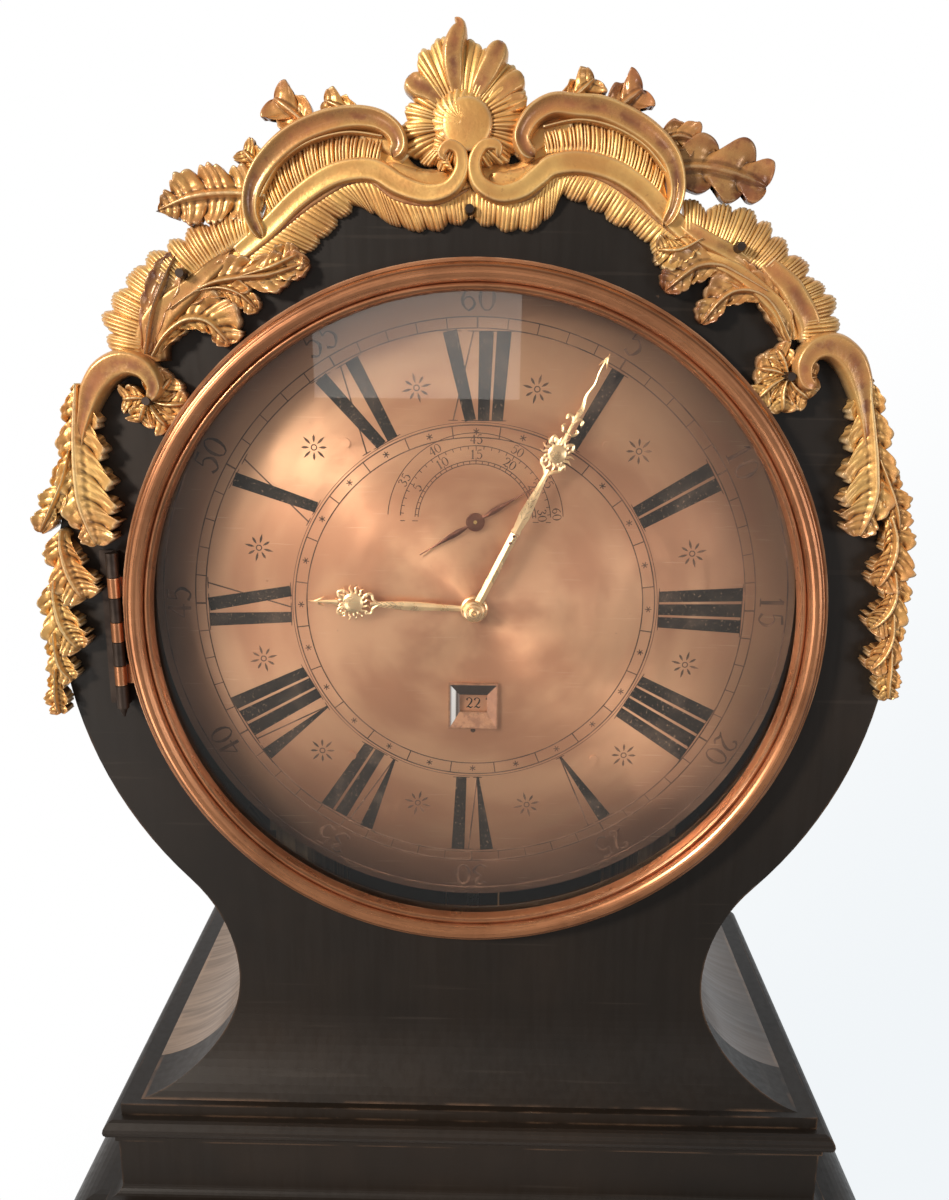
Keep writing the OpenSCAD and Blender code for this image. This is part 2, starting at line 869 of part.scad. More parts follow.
module pendulum_rod() {
    color(steel)
        union() {
            block([-4, pendulum_y - 1.5, thread_top],
                  [4, pendulum_y + 1.5, centre_z + pallet_up - 14]);
            block([-6, pendulum_y - 4, centre_z + pallet_up - 26],
                  [6, pendulum_y + 4, centre_z + pallet_up - 14]);
            translate([0, pendulum_y, rod_low])
                cylinder(h = thread_top - rod_low, r = 2.5, $fn = 32);
        }
}

// Lens of two turned faces with a slot for the rod
module pendulum_bob() {
    half_t = 15;
    color(brass)
        translate([0, pendulum_y, bob_z])
            rotate([90, 0, 0])
                difference() {
                    rotate_extrude($fn = 96)
                        polygon(concat([[0, -half_t]],
                                       [for (i = [0:10])
                                           [bob_r * i / 10, -half_t + half_t * pow(i / 10, 2)
                                                            - (i == 10 ? 1.5 : 0)]],
                                       [for (i = [10:-1:0])
                                           [bob_r * i / 10, half_t - half_t * pow(i / 10, 2)
                                                            + (i == 10 ? 1.5 : 0)]],
                                       [[0, half_t]]));
                    translate([-4, -bob_r - 1, -1.5])
                        cube([8, 2 * bob_r + 2, 3]);
                }
}

module rating_nut() {
    color(brass)
        translate([0, pendulum_y, bob_z - bob_r - 10])
            difference() {
                cylinder(h = 9, r = 11, $fn = 64);
                translate([0, 0, -1])
                    cylinder(h = 12, r = 2.5, $fn = 32);
            }
}

// Weight and line

pulley_z = weight_top + 34;

module weight() {
    color(brass)
        translate([0, line_y, weight_top - weight_h])
            union() {
                cylinder(h = weight_h, r = weight_r);
                translate([0, 0, weight_h])
                    cylinder(h = 4, r1 = weight_r - 4, r2 = 8);
                translate([0, 0, -3])
                    cylinder(h = 3, r = weight_r - 6);
            }
}

// Stirrup with the pulley's pin, hooked into the weight
module pulley_stirrup() {
    color(brass)
        union() {
            translate([0, line_y, weight_top + 4])
                cylinder(h = 10, r = 2, $fn = 32);
            for (s = [-1, 1])
                block([-3, line_y + s * 4.5 - 0.8, weight_top + 12],
                      [3, line_y + s * 4.5 + 0.8, pulley_z + 5]);
            block([-3, line_y - 5.3, weight_top + 12], [3, line_y + 5.3, weight_top + 14]);
            bar(line_y - 5.3, 10.6, 0, pulley_z, 1.6);
        }
}

module pulley_wheel() {
    color(brass)
        translate([0, line_y - 3, pulley_z])
            rotate([-90, 0, 0])
                difference() {
                    rotate_extrude()
                        polygon([[0, 0], [line_x, 0], [line_x - 2, 2],
                                 [line_x - 2, 4], [line_x, 6], [0, 6]]);
                    translate([0, 0, -1])
                        cylinder(h = 8, r = 1.6 + pivot_gap);
                }
}

// Two falls of the line: one to the drum, one to the peg on the seat
module weight_line() {
    color("#d8c79a")
        for (s = [-1, 1])
            translate([s * line_x, line_y, pulley_z])
                cylinder(h = (s < 0 ? centre_z - great_centre : seat_z) - pulley_z,
                         r = line_r, $fn = 16);
}

// Trunk door

trunk_hinge_x = -131;
trunk_hinge_y = trunk_y - 7;
trunk_hinge_at = [door_low + 90, door_high - 90];

module trunk_door() {
    half = door_half + 8;
    color(ebony)
        difference() {
            union() {
                slab(trunk_y - 12, 11.5)
                    translate([-half, door_low - 8])
                        square([2 * half, door_high - door_low + 16]);
                slab(trunk_y - 14.5, 3)
                    difference() {
                        translate([-half + 6, door_low - 2])
                            square([2 * half - 12, door_high - door_low + 4]);
                        translate([-half + 22, door_low + 14])
                            square([2 * half - 44, door_high - door_low - 28]);
                    }
            }
            for (z = trunk_hinge_at)
                translate([trunk_hinge_x, trunk_hinge_y, z - 32])
                    cylinder(h = 64, r = 4.6);
            for (z = trunk_hinge_at)
                block([trunk_hinge_x, trunk_hinge_y - 0.8, z - 10.5],
                      [-half + 20, trunk_hinge_y + 0.8, z + 10.5]);
        }
}

module trunk_hinge_fixed() {
    color(brass)
        for (z = trunk_hinge_at) {
            for (s = [-1, 1])
                translate([trunk_hinge_x, trunk_hinge_y, z + s * 20.2 - 9.5])
                    cylinder(h = 19, r = 3.5);
            translate([trunk_hinge_x, trunk_hinge_y, z - 31])
                cylinder(h = 62, r = 1.5);
            for (s = [-1, 1])
                block([trunk_hinge_x - 1.2, trunk_hinge_y + 3, z + s * 20.2 - 9.5],
                      [trunk_hinge_x + 1.2, trunk_y, z + s * 20.2 + 9.5]);
            block([trunk_hinge_x - 14, trunk_y - 1.4, z - 29.7],
                  [trunk_hinge_x + 1.2, trunk_y, z + 29.7]);
        }
}

module trunk_hinge_moving() {
    color(brass)
        for (z = trunk_hinge_at)
            difference() {
                union() {
                    translate([trunk_hinge_x, trunk_hinge_y, z - 10.3])
                        cylinder(h = 20.6, r = 3.5);
                    block([trunk_hinge_x, trunk_hinge_y - 0.8, z - 10.3],
                          [-door_half + 12, trunk_hinge_y + 0.8, z + 10.3]);
                }
                translate([trunk_hinge_x, trunk_hinge_y, z - 11])
                    cylinder(h = 22, r = 1.5 + pivot_gap);
            }
}

module door_escutcheon() {
    color(gilt)
        slab(trunk_y - 15.7, 1.2)
            translate([door_half - 6, (door_low + door_high) / 2])
                difference() {
                    union() {
                        circle(9, $fn = 48);
                        translate([0, -12])
                            circle(6, $fn = 48);
                        translate([0, 12])
                            circle(6, $fn = 48);
                    }
                    circle(2, $fn = 24);
                    translate([-0.9, -7])
                        square([1.8, 7]);
                }
}

// Round door

module bezel_leaf(extra) {
    for (k = [0:2])
        block([hinge_x + knuckle_r - 0.4, hinge_y + 2, door_z + moving_at[k] - 5.1 - extra],
              [hinge_x + 13, hinge_y + 3.6, door_z + moving_at[k] + 5.1 + extra]);
}

module bezel_ring() {
    // Radius and distance forward of the ring's back
    outline = concat([[sight_r + 3.5, 0], [ring_r, 0], [ring_r, 7.5], [ring_r - 2, 7.5],
                      [ring_r - 2, 9.3]],
                     arc([ring_r - 6.6, 9.3], 4.8, 10, 165, 12),
                     [[sight_r + 3.9, 8.6]],
                     arc([sight_r + 2.1, 8.6], 1.8, 20, 180, 8),
                     [[sight_r, 6], [sight_r, 4.2], [sight_r + 3.5, 4.2]]);
    color(copper)
        difference() {
            translate([0, ring_back_y, door_z])
                rotate([90, 0, 0])
                    rotate_extrude($fn = 180)
                        polygon(outline);
            translate([hinge_x, hinge_y, door_z - 54])
                cylinder(h = 100, r = knuckle_r + 0.7, $fn = 48);
            bezel_leaf(0);
        }
}

module bezel_glass() {
    color("#b8c4c8", 0.3)
        slab(ring_back_y - 4.2, glass_t)
            translate([0, door_z])
                circle(sight_r + 3.5, $fn = 180);
}

// Heights of the knuckles above the door's middle
moving_at = [18.4, -5, -28.4];
fixed_at = [30.1, 6.7, -16.7, -40.1];

module bezel_hinge_moving() {
    color(copper)
        difference() {
            union() {
                for (z = moving_at)
                    translate([hinge_x, hinge_y, door_z + z - 5.1])
                        cylinder(h = 10.2, r = knuckle_r, $fn = 48);
                bezel_leaf(0);
            }
            translate([hinge_x, hinge_y, door_z - 54])
                cylinder(h = 100, r = 1.4 + pivot_gap, $fn = 48);
        }
}

module bezel_hinge_fixed() {
    color("#2a2420") {
        for (z = fixed_at) {
            translate([hinge_x, hinge_y, door_z + z - 6.2])
                cylinder(h = 12.4, r = knuckle_r, $fn = 48);
            block([hinge_x - 1.6, hinge_y + 2, door_z + z - 6.2],
                  [hinge_x + 1.2, front_y, door_z + z + 6.2]);
        }
        block([hinge_x - 9, front_y - 1.2, door_z - 46.3],
              [hinge_x + 1.2, front_y, door_z + 36.3]);
        translate([hinge_x, hinge_y, door_z - 46.3])
            cylinder(h = 82.6, r = 1.4, $fn = 48);
        translate([hinge_x, hinge_y, door_z - 51.3])
            cylinder(h = 5, r1 = 0.6, r2 = 2.4, $fn = 48);
    }
}

// Hood

// Head and neck seen from the front, drawn in by inset all round
module hood_outline(inset) {
    low = plinth_top_z;
    touch_h = neck_drop - touch_z;
    wide = neck_w + flare_out - inset;
    translate([0, door_z])
        circle(head_r - inset, $fn = 180);
    difference() {
        translate([-touch_x, neck_z])
            square([2 * touch_x, touch_h]);
        for (s = [-1, 1])
            translate([s * (neck_w + cove_r), neck_z])
                circle(cove_r + inset, $fn = 180);
    }
    difference() {
        translate([-wide, low])
            square([2 * wide, neck_z - low + 0.01]);
        for (s = [-1, 1])
            translate([s * (neck_w + flare_r), neck_z])
                circle(flare_r + inset, $fn = 180);
    }
}

// Board with the round opening, swept forward at its foot
module hood_front() {
    apron_low = plinth_top_z;
    color(ebony)
        difference() {
            intersection() {
                slab(front_y - apron_out - 1, board_t + apron_out + 1)
                    hood_outline(0);
                rotate([90, 0, 90])
                    translate([0, 0, -300])
                        linear_extrude(600)
                            polygon(concat([[front_back_y, door_z + head_r + 1],
                                            [front_y, door_z + head_r + 1]],
                                           arc([front_y - apron_r, apron_low + apron_h],
                                               apron_r, 0, -52, 12),
                                           [[front_y - apron_out, apron_low],
                                            [front_back_y, apron_low]]));
            }
            translate([0, front_back_y + 1, door_z])
                rotate([90, 0, 0])
                    cylinder(h = board_t + apron_out + 4, r = opening_r, $fn = 180);
        }
}

shell_y = front_back_y;
shell_d = hood_back_y - front_back_y;

// Bent shell over the round head
module hood_arch() {
    color(ebony)
        slab(shell_y, shell_d)
            difference() {
                translate([0, door_z])
                    circle(head_r, $fn = 180);
                translate([0, door_z])
                    circle(head_r - shell_t, $fn = 180);
                translate([-head_r, door_z - head_r - 1])
                    square([2 * head_r, head_r + 1 - touch_z]);
            }
}

// Coved walls of the neck down to the plinth
module hood_necks() {
    color("#3a312b")
        slab(shell_y, shell_d)
            difference() {
                intersection() {
                    hood_outline(0);
                    translate([-head_r, plinth_top_z])
                        square([2 * head_r, door_z - touch_z - plinth_top_z]);
                }
                hood_outline(shell_t);
            }
}

// Moulded frame that stands on the shoulders, open at the back
module hood_plinth() {
    z0 = plinth_z + 0.5;
    top = plinth_top_z;
    out = (plinth_w / 2) - (neck_w + flare_out);
    steps = concat([[8, z0], [8, z0 + 5], [5, z0 + 5]],
                   arc([5, z0 + 10], 5, 270, 180, 6),
                   [[0, z0 + 12], [0, top - 22], [1.5, top - 22], [1.5, top - 18]],
                   arc([1, top - 12.5], 5.5, -80, 80, 8),
                   [[-2, top - 7], [-2, top], [-out, top]]);
    color(ebony)
        difference() {
            moulding(plinth_w / 2, plinth_y, hood_back_y, steps);
            block([-runner_x - 4.8, -93, z0 - 1], [runner_x + 4.8, hood_back_y + 1, z0 + 24]);
            block([-neck_w + shell_t, -93, z0 - 1], [neck_w - shell_t, hood_back_y + 1, top + 1]);
        }
}

// Carved and gilded ornament

relief_y = front_y;
crest_x = -6;

$flat = false;

module carved(thick) {
    if ($flat)
        children();
    else
        slab(relief_y - thick, thick)
            translate([0, door_z])
                children();
}

// Room for a neighbouring carving, so that two carvings meet without overlapping
module room_for() {
    $flat = true;
    slab(relief_y - 25, 26)
        translate([0, door_z])
            children();
}

// Fan of ribs above a boss, standing clear of the head's top
module crest_shell() {
    foot = [crest_x, 231];
    ribs = 11;
    color(gilt)
        difference() {
            union() {
                carved(7)
                    translate(foot)
                        polygon(concat([for (i = [0:88])
                                    let (a = -28 + 236 * i / 88,
                                         reach = 25 + 12 * sin(max(a, 0)))
                                    polar(reach + 4.5 * abs(sin(a * 8)), a)], [[0, -24]]));
                for (i = [0:ribs - 1])
                    let (a = -20 + 220 * i / (ribs - 1), reach = 24 + 12 * sin(max(a, 0)))
                        translate([foot[0], relief_y - 7, door_z + foot[1]])
                            rotate([0, 90 - a, 0])
                                cylinder(h = reach, r1 = 1.4, r2 = 4.6, $fn = 24);
                translate([foot[0], relief_y - 8, door_z + foot[1] - 1])
                    sphere(r = 8, $fn = 32);
            }
            room_for() {
                crest_scroll_left();
                crest_scroll_right();
            }
        }
}

// Leaf: a lobed outline along a spine, with a midrib
function leaf_half(n, w, lobes) =
    [for (i = [0:n - 1])
        let (t = i / (n - 1))
        0.4 + w * pow(sin(180 * pow(t, 0.75)), 0.8) * (0.72 + 0.28 * abs(sin(180 * lobes * t)))];

module leaf_shape(points, w, lobes) {
    p = path(points, 6);
    h = leaf_half(len(p), w, lobes);
    polygon(band(p, h, h));
}

module leaf_solid(points, w, lobes, thick) {
    carved(thick)
        leaf_shape(points, w, lobes);
    carved(thick + 3)
        leaf_shape(points, w * 0.3, 1);
}

// Strip of one width along a spine
module strip(points, half, thick) {
    p = path(points, 5);
    carved(thick)
        polygon(band(p, taper(len(p), half, half), taper(len(p), half, half)));
}

// C-scroll above a fluted panel, an S-band and a scalloped fringe.
// Points are hand-placed from the outer end towards the crest.
module crest_scroll(c_bar, s_band, fringe, panel, volutes, leaves, scallop_side) {
    f = path(fringe, 5);
    plain = taper(len(f), 5, 5);
    lobed = scallops(len(f), 13, 4, 7);
    color(gilt)
        union() {
            strip(c_bar, 4.5, 14);
            strip(s_band, 4.2, 11);
            strip(panel, 9, 7);
            carved(5)
                polygon(band(f, scallop_side > 0 ? lobed : plain, scallop_side > 0 ? plain : lobed));
            for (v = volutes)
                carved(v[3])
                    translate([v[0], v[1]])
                        circle(v[2], $fn = 40);
            for (l = leaves)
                leaf_solid(l[0], l[1], 3, 6);
        }
}

module crest_scroll_left() {
    crest_scroll([[-102, 189], [-105, 198], [-104, 209], [-97, 220], [-86, 230], [-72, 236],
                  [-58, 239], [-46, 238], [-38, 230]],
                 [[-95, 194], [-84, 205], [-70, 213], [-58, 216], [-47, 216], [-36, 211],
                  [-25, 209], [-15, 212], [-11, 219]],
                 [[-94, 184], [-80, 193], [-66, 203], [-55, 208], [-44, 203], [-32, 199],
                  [-19, 200], [-8, 205]],
                 [[-97, 204], [-86, 216], [-73, 222], [-59, 226], [-45, 227]],
                 [[-39, 228, 6, 15], [-13, 222, 6.5, 13]],
                 [[[[-102, 206], [-120, 206], [-134, 203], [-150, 203]], 11],
                  [[[-98, 212], [-106, 219], [-112, 223]], 5],
                  [[[-72, 234], [-83, 242], [-94, 247]], 6]], -1);
}

module crest_scroll_right() {
    crest_scroll([[87, 194], [90, 203], [91, 212], [87, 223], [77, 233], [66, 239], [55, 243],
                  [44, 244], [33, 243], [25, 236]],
                 [[83, 204], [76, 211], [63, 218], [47, 221], [34, 219], [27, 215], [19, 211],
                  [10, 211], [2, 218]],
                 [[80, 193], [68, 201], [57, 208], [46, 212], [37, 209], [27, 202], [13, 199],
                  [-3, 205]],
                 [[84, 213], [71, 223], [58, 229], [45, 232], [33, 231]],
                 [[24, 232, 6, 15], [4, 221, 6.5, 13]],
                 [[[[90, 222], [106, 220], [119, 217], [133, 215]], 12],
                  [[[84, 228], [91, 231], [99, 230]], 5],
                  [[[56, 241], [65, 248], [74, 250]], 6],
                  [[[38, 243], [46, 250], [52, 256]], 4]], 1);
}

// Fluted band on the edge of the head, crossed by leaves that spring from one stem
module shoulder(outer, inner, stem, leaves, end_z) {
    color(gilt)
        difference() {
            union() {
                carved(6)
                    polygon(concat(path(outer, 3), path(inner, 3)));
                strip(stem, 4.5, 12);
                for (l = leaves)
                    leaf_solid(l[0], l[1], 4, 9);
            }
            block([-250, relief_y - 25, door_z + end_z - 20], [250, relief_y + 1, door_z + end_z]);
            room_for()
                children();
        }
}

module shoulder_leaf_left() {
    shoulder([[-106, 204], [-122, 203], [-135, 193], [-148, 184], [-160, 178], [-168, 169],
              [-173, 161], [-180, 152], [-179, 144], [-178, 133]],
             [[-164, 132], [-162, 145], [-157, 155], [-148, 164], [-138, 171], [-124, 180],
              [-105, 190]],
             [[-160, 132], [-158, 141], [-152, 151], [-143, 159], [-135, 165], [-127, 172],
              [-118, 182]],
             [[[[-140, 162], [-126, 168], [-112, 170], [-98, 171], [-82, 178]], 8],
              [[[-124, 166], [-112, 163], [-105, 155]], 4.5],
              [[[-157, 136], [-149, 145], [-138, 149], [-128, 148], [-120, 140]], 6.5]], 135.4)
        crest_scroll_left();
}

module shoulder_leaf_right() {
    shoulder([[96, 201], [107, 204], [118, 204], [130, 200], [138, 194], [147, 185], [155, 179],
              [161, 171], [168, 167], [172, 158], [173, 150], [172, 144]],
             [[158, 144], [155, 154], [149, 163], [142, 170], [134, 176], [122, 180], [108, 184],
              [92, 190]],
             [[156, 144], [154, 153], [150, 161], [144, 169], [138, 175], [131, 180]],
             [[[[149, 144], [146, 152], [141, 159], [134, 165], [127, 170], [118, 174],
                [108, 175], [97, 173], [88, 167]], 8],
              [[[143, 157], [132, 164], [123, 166], [115, 163], [108, 154]], 6.5]], 146)
        crest_scroll_right();
}

// Scroll with a flower at its start, and a fall of leaves down the edge of the head
module pendant(stem, volute, flower, leaves) {
    petals = 8;
    color(gilt)
        union() {
            strip(stem, 4.5, 10);
            carved(12)
                translate(volute)
                    circle(5.5, $fn = 40);
            carved(8)
                translate(flower)
                    polygon([for (i = [0:4 * petals - 1])
                                let (a = i * 90 / petals)
                                    polar(9 + 3.4 * abs(cos(petals * a / 2)), a)]);
            for (i = [0:len(leaves) - 1])
                leaf_solid(leaves[i][0], leaves[i][1], 3, i % 2 == 0 ? 7 : 5.5);
        }
}

module pendant_left() {
    pendant([[-163, 118], [-163, 125], [-170, 130], [-180, 130], [-188, 124], [-193, 114]],
            [-166, 117], [-159, 112],
            [[[[-190, 120], [-195, 100], [-197, 80], [-198, 62], [-195, 40]], 13],
             [[[-202, 68], [-212, 56], [-219, 46]], 6],
             [[[-204, 58], [-209, 34], [-201, 13]], 9],
             [[[-211, 34], [-214, 9], [-203, -15]], 9],
             [[[-218, -4], [-216, -18], [-208, -31]], 7],
             [[[-217, -12], [-218, -34], [-220, -50]], 6.5]]);
}

module pendant_right() {
    pendant([[159, 124], [155, 130], [157, 137], [164, 141], [172, 140], [180, 134], [186, 122]],
            [161, 129], [148, 123],
            [[[[184, 124], [190, 101], [194, 84], [196, 68], [191, 51]], 13],
             [[[201, 80], [208, 66], [209, 53]], 6],
             [[[212, 60], [209, 40], [201, 24]], 9],
             [[[212, 42], [212, 20], [198, 4]], 8],
             [[[212, 20], [213, -2], [206, -18]], 7.5],
             [[[212, 2], [215, -18], [218, -35]], 6.5]]);
}

back_board();
trunk_sides();
trunk_front();
trunk_top_moulding();
base_cap_moulding();
base_panels();
plinth_skirt();
seat_cheeks();
seat_board();
hood_runners();
front_plate();
back_plate();
plate_pillars();
back_cock();
dial();
dial_feet();
date_frame();
under_dial_studs();
trunk_hinge_fixed();
centre_wheel();
cannon_wheel();
minute_hand();
hour_wheel();
hour_hand();
minute_wheel();
day_wheel();
third_wheel();
escape_wheel();
seconds_hand();
great_wheel();
line_drum();
date_ring();
pallet_arbor();
crutch();
pendulum_rod();
pendulum_bob();
rating_nut();
suspension_spring();
weight();
pulley_stirrup();
pulley_wheel();
weight_line();
trunk_door();
trunk_hinge_moving();
door_escutcheon();
bezel_ring();
bezel_glass();
bezel_hinge_moving();
hood_front();
hood_arch();
hood_necks();
hood_plinth();
bezel_hinge_fixed();
crest_shell();
crest_scroll_left();
crest_scroll_right();
shoulder_leaf_left();
shoulder_leaf_right();
pendant_left();
pendant_right();
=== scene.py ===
import bpy
import bmesh
import json
import math
from mathutils import Euler, Matrix, Vector


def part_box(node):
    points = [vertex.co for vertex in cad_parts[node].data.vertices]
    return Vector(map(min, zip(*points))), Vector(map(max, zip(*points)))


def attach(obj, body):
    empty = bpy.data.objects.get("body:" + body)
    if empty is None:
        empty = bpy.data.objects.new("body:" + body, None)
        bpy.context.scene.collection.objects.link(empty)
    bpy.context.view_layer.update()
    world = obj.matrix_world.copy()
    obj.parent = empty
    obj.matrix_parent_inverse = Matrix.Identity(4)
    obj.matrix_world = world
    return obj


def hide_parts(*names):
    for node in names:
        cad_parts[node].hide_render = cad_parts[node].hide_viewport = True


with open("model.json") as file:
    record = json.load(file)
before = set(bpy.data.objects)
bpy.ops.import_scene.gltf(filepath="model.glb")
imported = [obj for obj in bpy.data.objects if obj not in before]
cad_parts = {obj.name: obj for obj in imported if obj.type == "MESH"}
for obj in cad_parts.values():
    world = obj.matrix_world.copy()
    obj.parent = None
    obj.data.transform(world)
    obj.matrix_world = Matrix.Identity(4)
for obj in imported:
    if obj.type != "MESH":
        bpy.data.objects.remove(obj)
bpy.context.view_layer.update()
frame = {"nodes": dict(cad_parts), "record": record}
nodes = frame["nodes"]
print("frame loaded:", len(nodes), "nodes")

mm = 0.001


def placeOn(node, axis, part):
    # from a node's lowest side (0) to its highest (1), to a hundredth of a millimetre
    low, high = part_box(node)
    return round(low[axis] + (high[axis] - low[axis]) * part, 5)


# Places shared by the pieces, in metres; ornament and dial points are in millimetres from these
doorZ = placeOn("bezel_ring", 2, 0.5)  # middle of the round door
dialZ = placeOn("dial", 2, 0.5)  # middle of the dial
dialFace = placeOn("dial", 1, 0)  # front of the dial
boardY = placeOn("crest_shell", 1, 1)  # front of the hood board, where the carvings stand

view = {
    "place": (0.0063, -0.5774, 1.9141),
    "turn": (76.08, -0.627, 0.867),  # degrees
    "lens": 29.33,
}


def addObject(name, data):
    made = bpy.data.objects.new(name, data)
    bpy.context.scene.collection.objects.link(made)
    return made


def makeCamera():
    camera = addObject("camera", bpy.data.cameras.new("camera"))
    camera.data.lens = view["lens"]
    camera.data.clip_start = 0.01
    camera.location = view["place"]
    camera.rotation_euler = Euler([math.radians(a) for a in view["turn"]])
    bpy.context.scene.camera = camera


makeCamera()
bpy.context.scene.view_settings.view_transform = "Standard"


# Shader helpers. The page holds the node tree being drawn and the coordinates used in it
page = {}


def plug(node, feeds):
    # inputs by name, or by number after an underscore
    for key, value in feeds.items():
        label = key.replace("_", " ").strip()
        socket = node.inputs[int(label) if label.isdigit() else label]
        if isinstance(value, bpy.types.NodeSocket):
            page["tree"].links.new(value, socket)
        else:
            socket.default_value = (*value, 1)[:4] if socket.type == "RGBA" else value


def put(kind, settings=None, **feeds):
    made = page["tree"].nodes.new("ShaderNode" + kind)
    for key, value in (settings or {}).items():
        setattr(made, key, value)
    plug(made, feeds)
    return made


def maths(operation, a, b=0.5, clamp=False):
    return put("Math", {"operation": operation, "use_clamp": clamp}, _0=a, _1=b).outputs[0]


def times(a, b, clamp=False):
    return maths("MULTIPLY", a, b, clamp)


def plus(a, b, clamp=False):
    return maths("ADD", a, b, clamp)


def gap(a, b):
    # how far apart two values are
    return maths("ABSOLUTE", maths("SUBTRACT", a, b))


def ramp(value, low, high, start=0.0, end=1.0):
    return put("MapRange", {"interpolation_type": "SMOOTHSTEP"}, _0=value, _1=low, _2=high,
               _3=start, _4=end).outputs[0]


def blend(mask, first, second):
    return put("Mix", {"data_type": "RGBA"}, _0=mask, _6=first, _7=second).outputs[2]


def paint(colour, *layers):
    # each layer is a mask, its strength and a colour
    for mask, amount, over in layers:
        colour = blend(mask if amount == 1 else times(mask, amount), colour, over)
    return colour


def parted(vector):
    # its X, Y and Z
    return put("SeparateXYZ", Vector=vector).outputs


def noise(scale, detail=2.0, stretch=None, turn=(0, 0, 0), **more):
    place = page["place"]
    if stretch:
        place = put("Mapping", Vector=place, Rotation=turn, Scale=stretch).outputs[0]
    return put("TexNoise", Vector=place, Scale=scale, Detail=detail, **more).outputs["Fac"]


def openGroup(name, **takes):
    # a mask that several finishes share, drawn on a page of its own
    tree = page["tree"] = bpy.data.node_groups.new(name, "ShaderNodeTree")
    for label, value in {"Place": (0, 0, 0), **takes}.items():
        kind = "NodeSocket" + ("Vector" if isinstance(value, tuple) else "Float")
        socket = tree.interface.new_socket(name=label, in_out="INPUT", socket_type=kind)
        socket.default_value = value
    given = tree.nodes.new("NodeGroupInput").outputs
    page["place"] = given["Place"]
    return given


def closeGroup(**gives):
    for label in gives:
        page["tree"].interface.new_socket(name=label, in_out="OUTPUT",
                                          socket_type="NodeSocketFloat")
    plug(page["tree"].nodes.new("NodeGroupOutput"), gives)
    return page["tree"]


def cloudGroup():
    given = openGroup("cloudedStain", Scale=10.0, Low=0.4, High=0.6)
    cloud = noise(given["Scale"], 6.0, Roughness=0.62)
    return closeGroup(Mask=ramp(cloud, given["Low"], given["High"]))


def scratchGroup():
    given = openGroup("hairScratches", Scale=20.0, Amount=0.5)
    total = 0.0
    for turn, stretch in ((0.3, 30), (1.2, 36), (2.0, 26), (2.7, 34)):
        streak = noise(given["Scale"], 1.0, (1, 3, stretch), (0, turn, turn / 3))
        total = maths("MAXIMUM", total, ramp(streak, 0.735, 0.78))
    return closeGroup(Mask=times(total, given["Amount"]))


def rubGroup():
    # edges rubbed bare, found by comparing the true direction of the surface with a rounded one
    given = openGroup("rubbedEdges", Scale=40.0, Radius=0.0015)
    rounded = put("Bevel", {"samples": 4}, Radius=given["Radius"]).outputs[0]
    straight = put("NewGeometry").outputs["Normal"]
    both = put("VectorMath", {"operation": "DOT_PRODUCT"}, _0=rounded, _1=straight)
    edge = ramp(maths("SUBTRACT", 1.0, both.outputs["Value"]), 0.02, 0.12)
    return closeGroup(Mask=times(edge, ramp(noise(given["Scale"], 4.0), 0.4, 0.62)))


def turnedGroup():
    # rings left by a lathe or by circular brushing, about the Y axis through Centre
    given = openGroup("turnedRings", Centre=(0.0, 0.0, 0.0), Rings=900.0, Sweep=1.5)
    moved = put("VectorMath", {"operation": "SUBTRACT"}, _0=given["Place"], _1=given["Centre"])
    part = parted(moved.outputs[0])
    flat = put("CombineXYZ", X=part["X"], Z=part["Z"]).outputs[0]
    radius = put("VectorMath", {"operation": "LENGTH"}, _0=flat).outputs["Value"]
    angle = maths("ARCTAN2", part["X"], part["Z"])
    page["place"] = put("CombineXYZ", X=times(radius, given["Rings"]),
                        Y=times(maths("COSINE", angle), given["Sweep"]),
                        Z=times(maths("SINE", angle), given["Sweep"])).outputs[0]
    return closeGroup(Height=noise(1.0, 3.0), Radius=radius)


groups = {"cloud": cloudGroup(), "scratch": scratchGroup(), "rub": rubGroup(),
          "turned": turnedGroup()}


def useGroup(name, **feeds):
    made = page["tree"].nodes.new("ShaderNodeGroup")
    made.node_tree = groups[name]
    plug(made, {"Place": page["place"], **feeds})
    return made.outputs


def clouds(scale, low, high):
    return useGroup("cloud", Scale=scale, Low=low, High=high)["Mask"]


def hairs(scale, amount):
    return useGroup("scratch", Scale=scale, Amount=amount)["Mask"]


def rubs(scale, radius):
    return useGroup("rub", Scale=scale, Radius=radius)["Mask"]


def turned(middle, rings, sweep):
    return useGroup("turned", Centre=(0, 0, middle), Rings=rings, Sweep=sweep)


def openFinish(name):
    finish = page["finish"] = bpy.data.materials.new(name)
    finish.use_nodes = True
    page["tree"] = finish.node_tree
    page["shader"] = finish.node_tree.nodes["Principled BSDF"]
    page["place"] = put("TexCoord").outputs["Object"]


def closeFinish(colour, rough, bump=None, **more):
    # bump is a height, its strength and its depth in metres
    plug(page["shader"], {"Base Color": colour, "Roughness": rough, **more})
    if bump:
        normal = put("Bump", Height=bump[0], Strength=bump[1], Distance=bump[2]).outputs[0]
        plug(page["shader"], {"Normal": normal})
    return page["finish"]


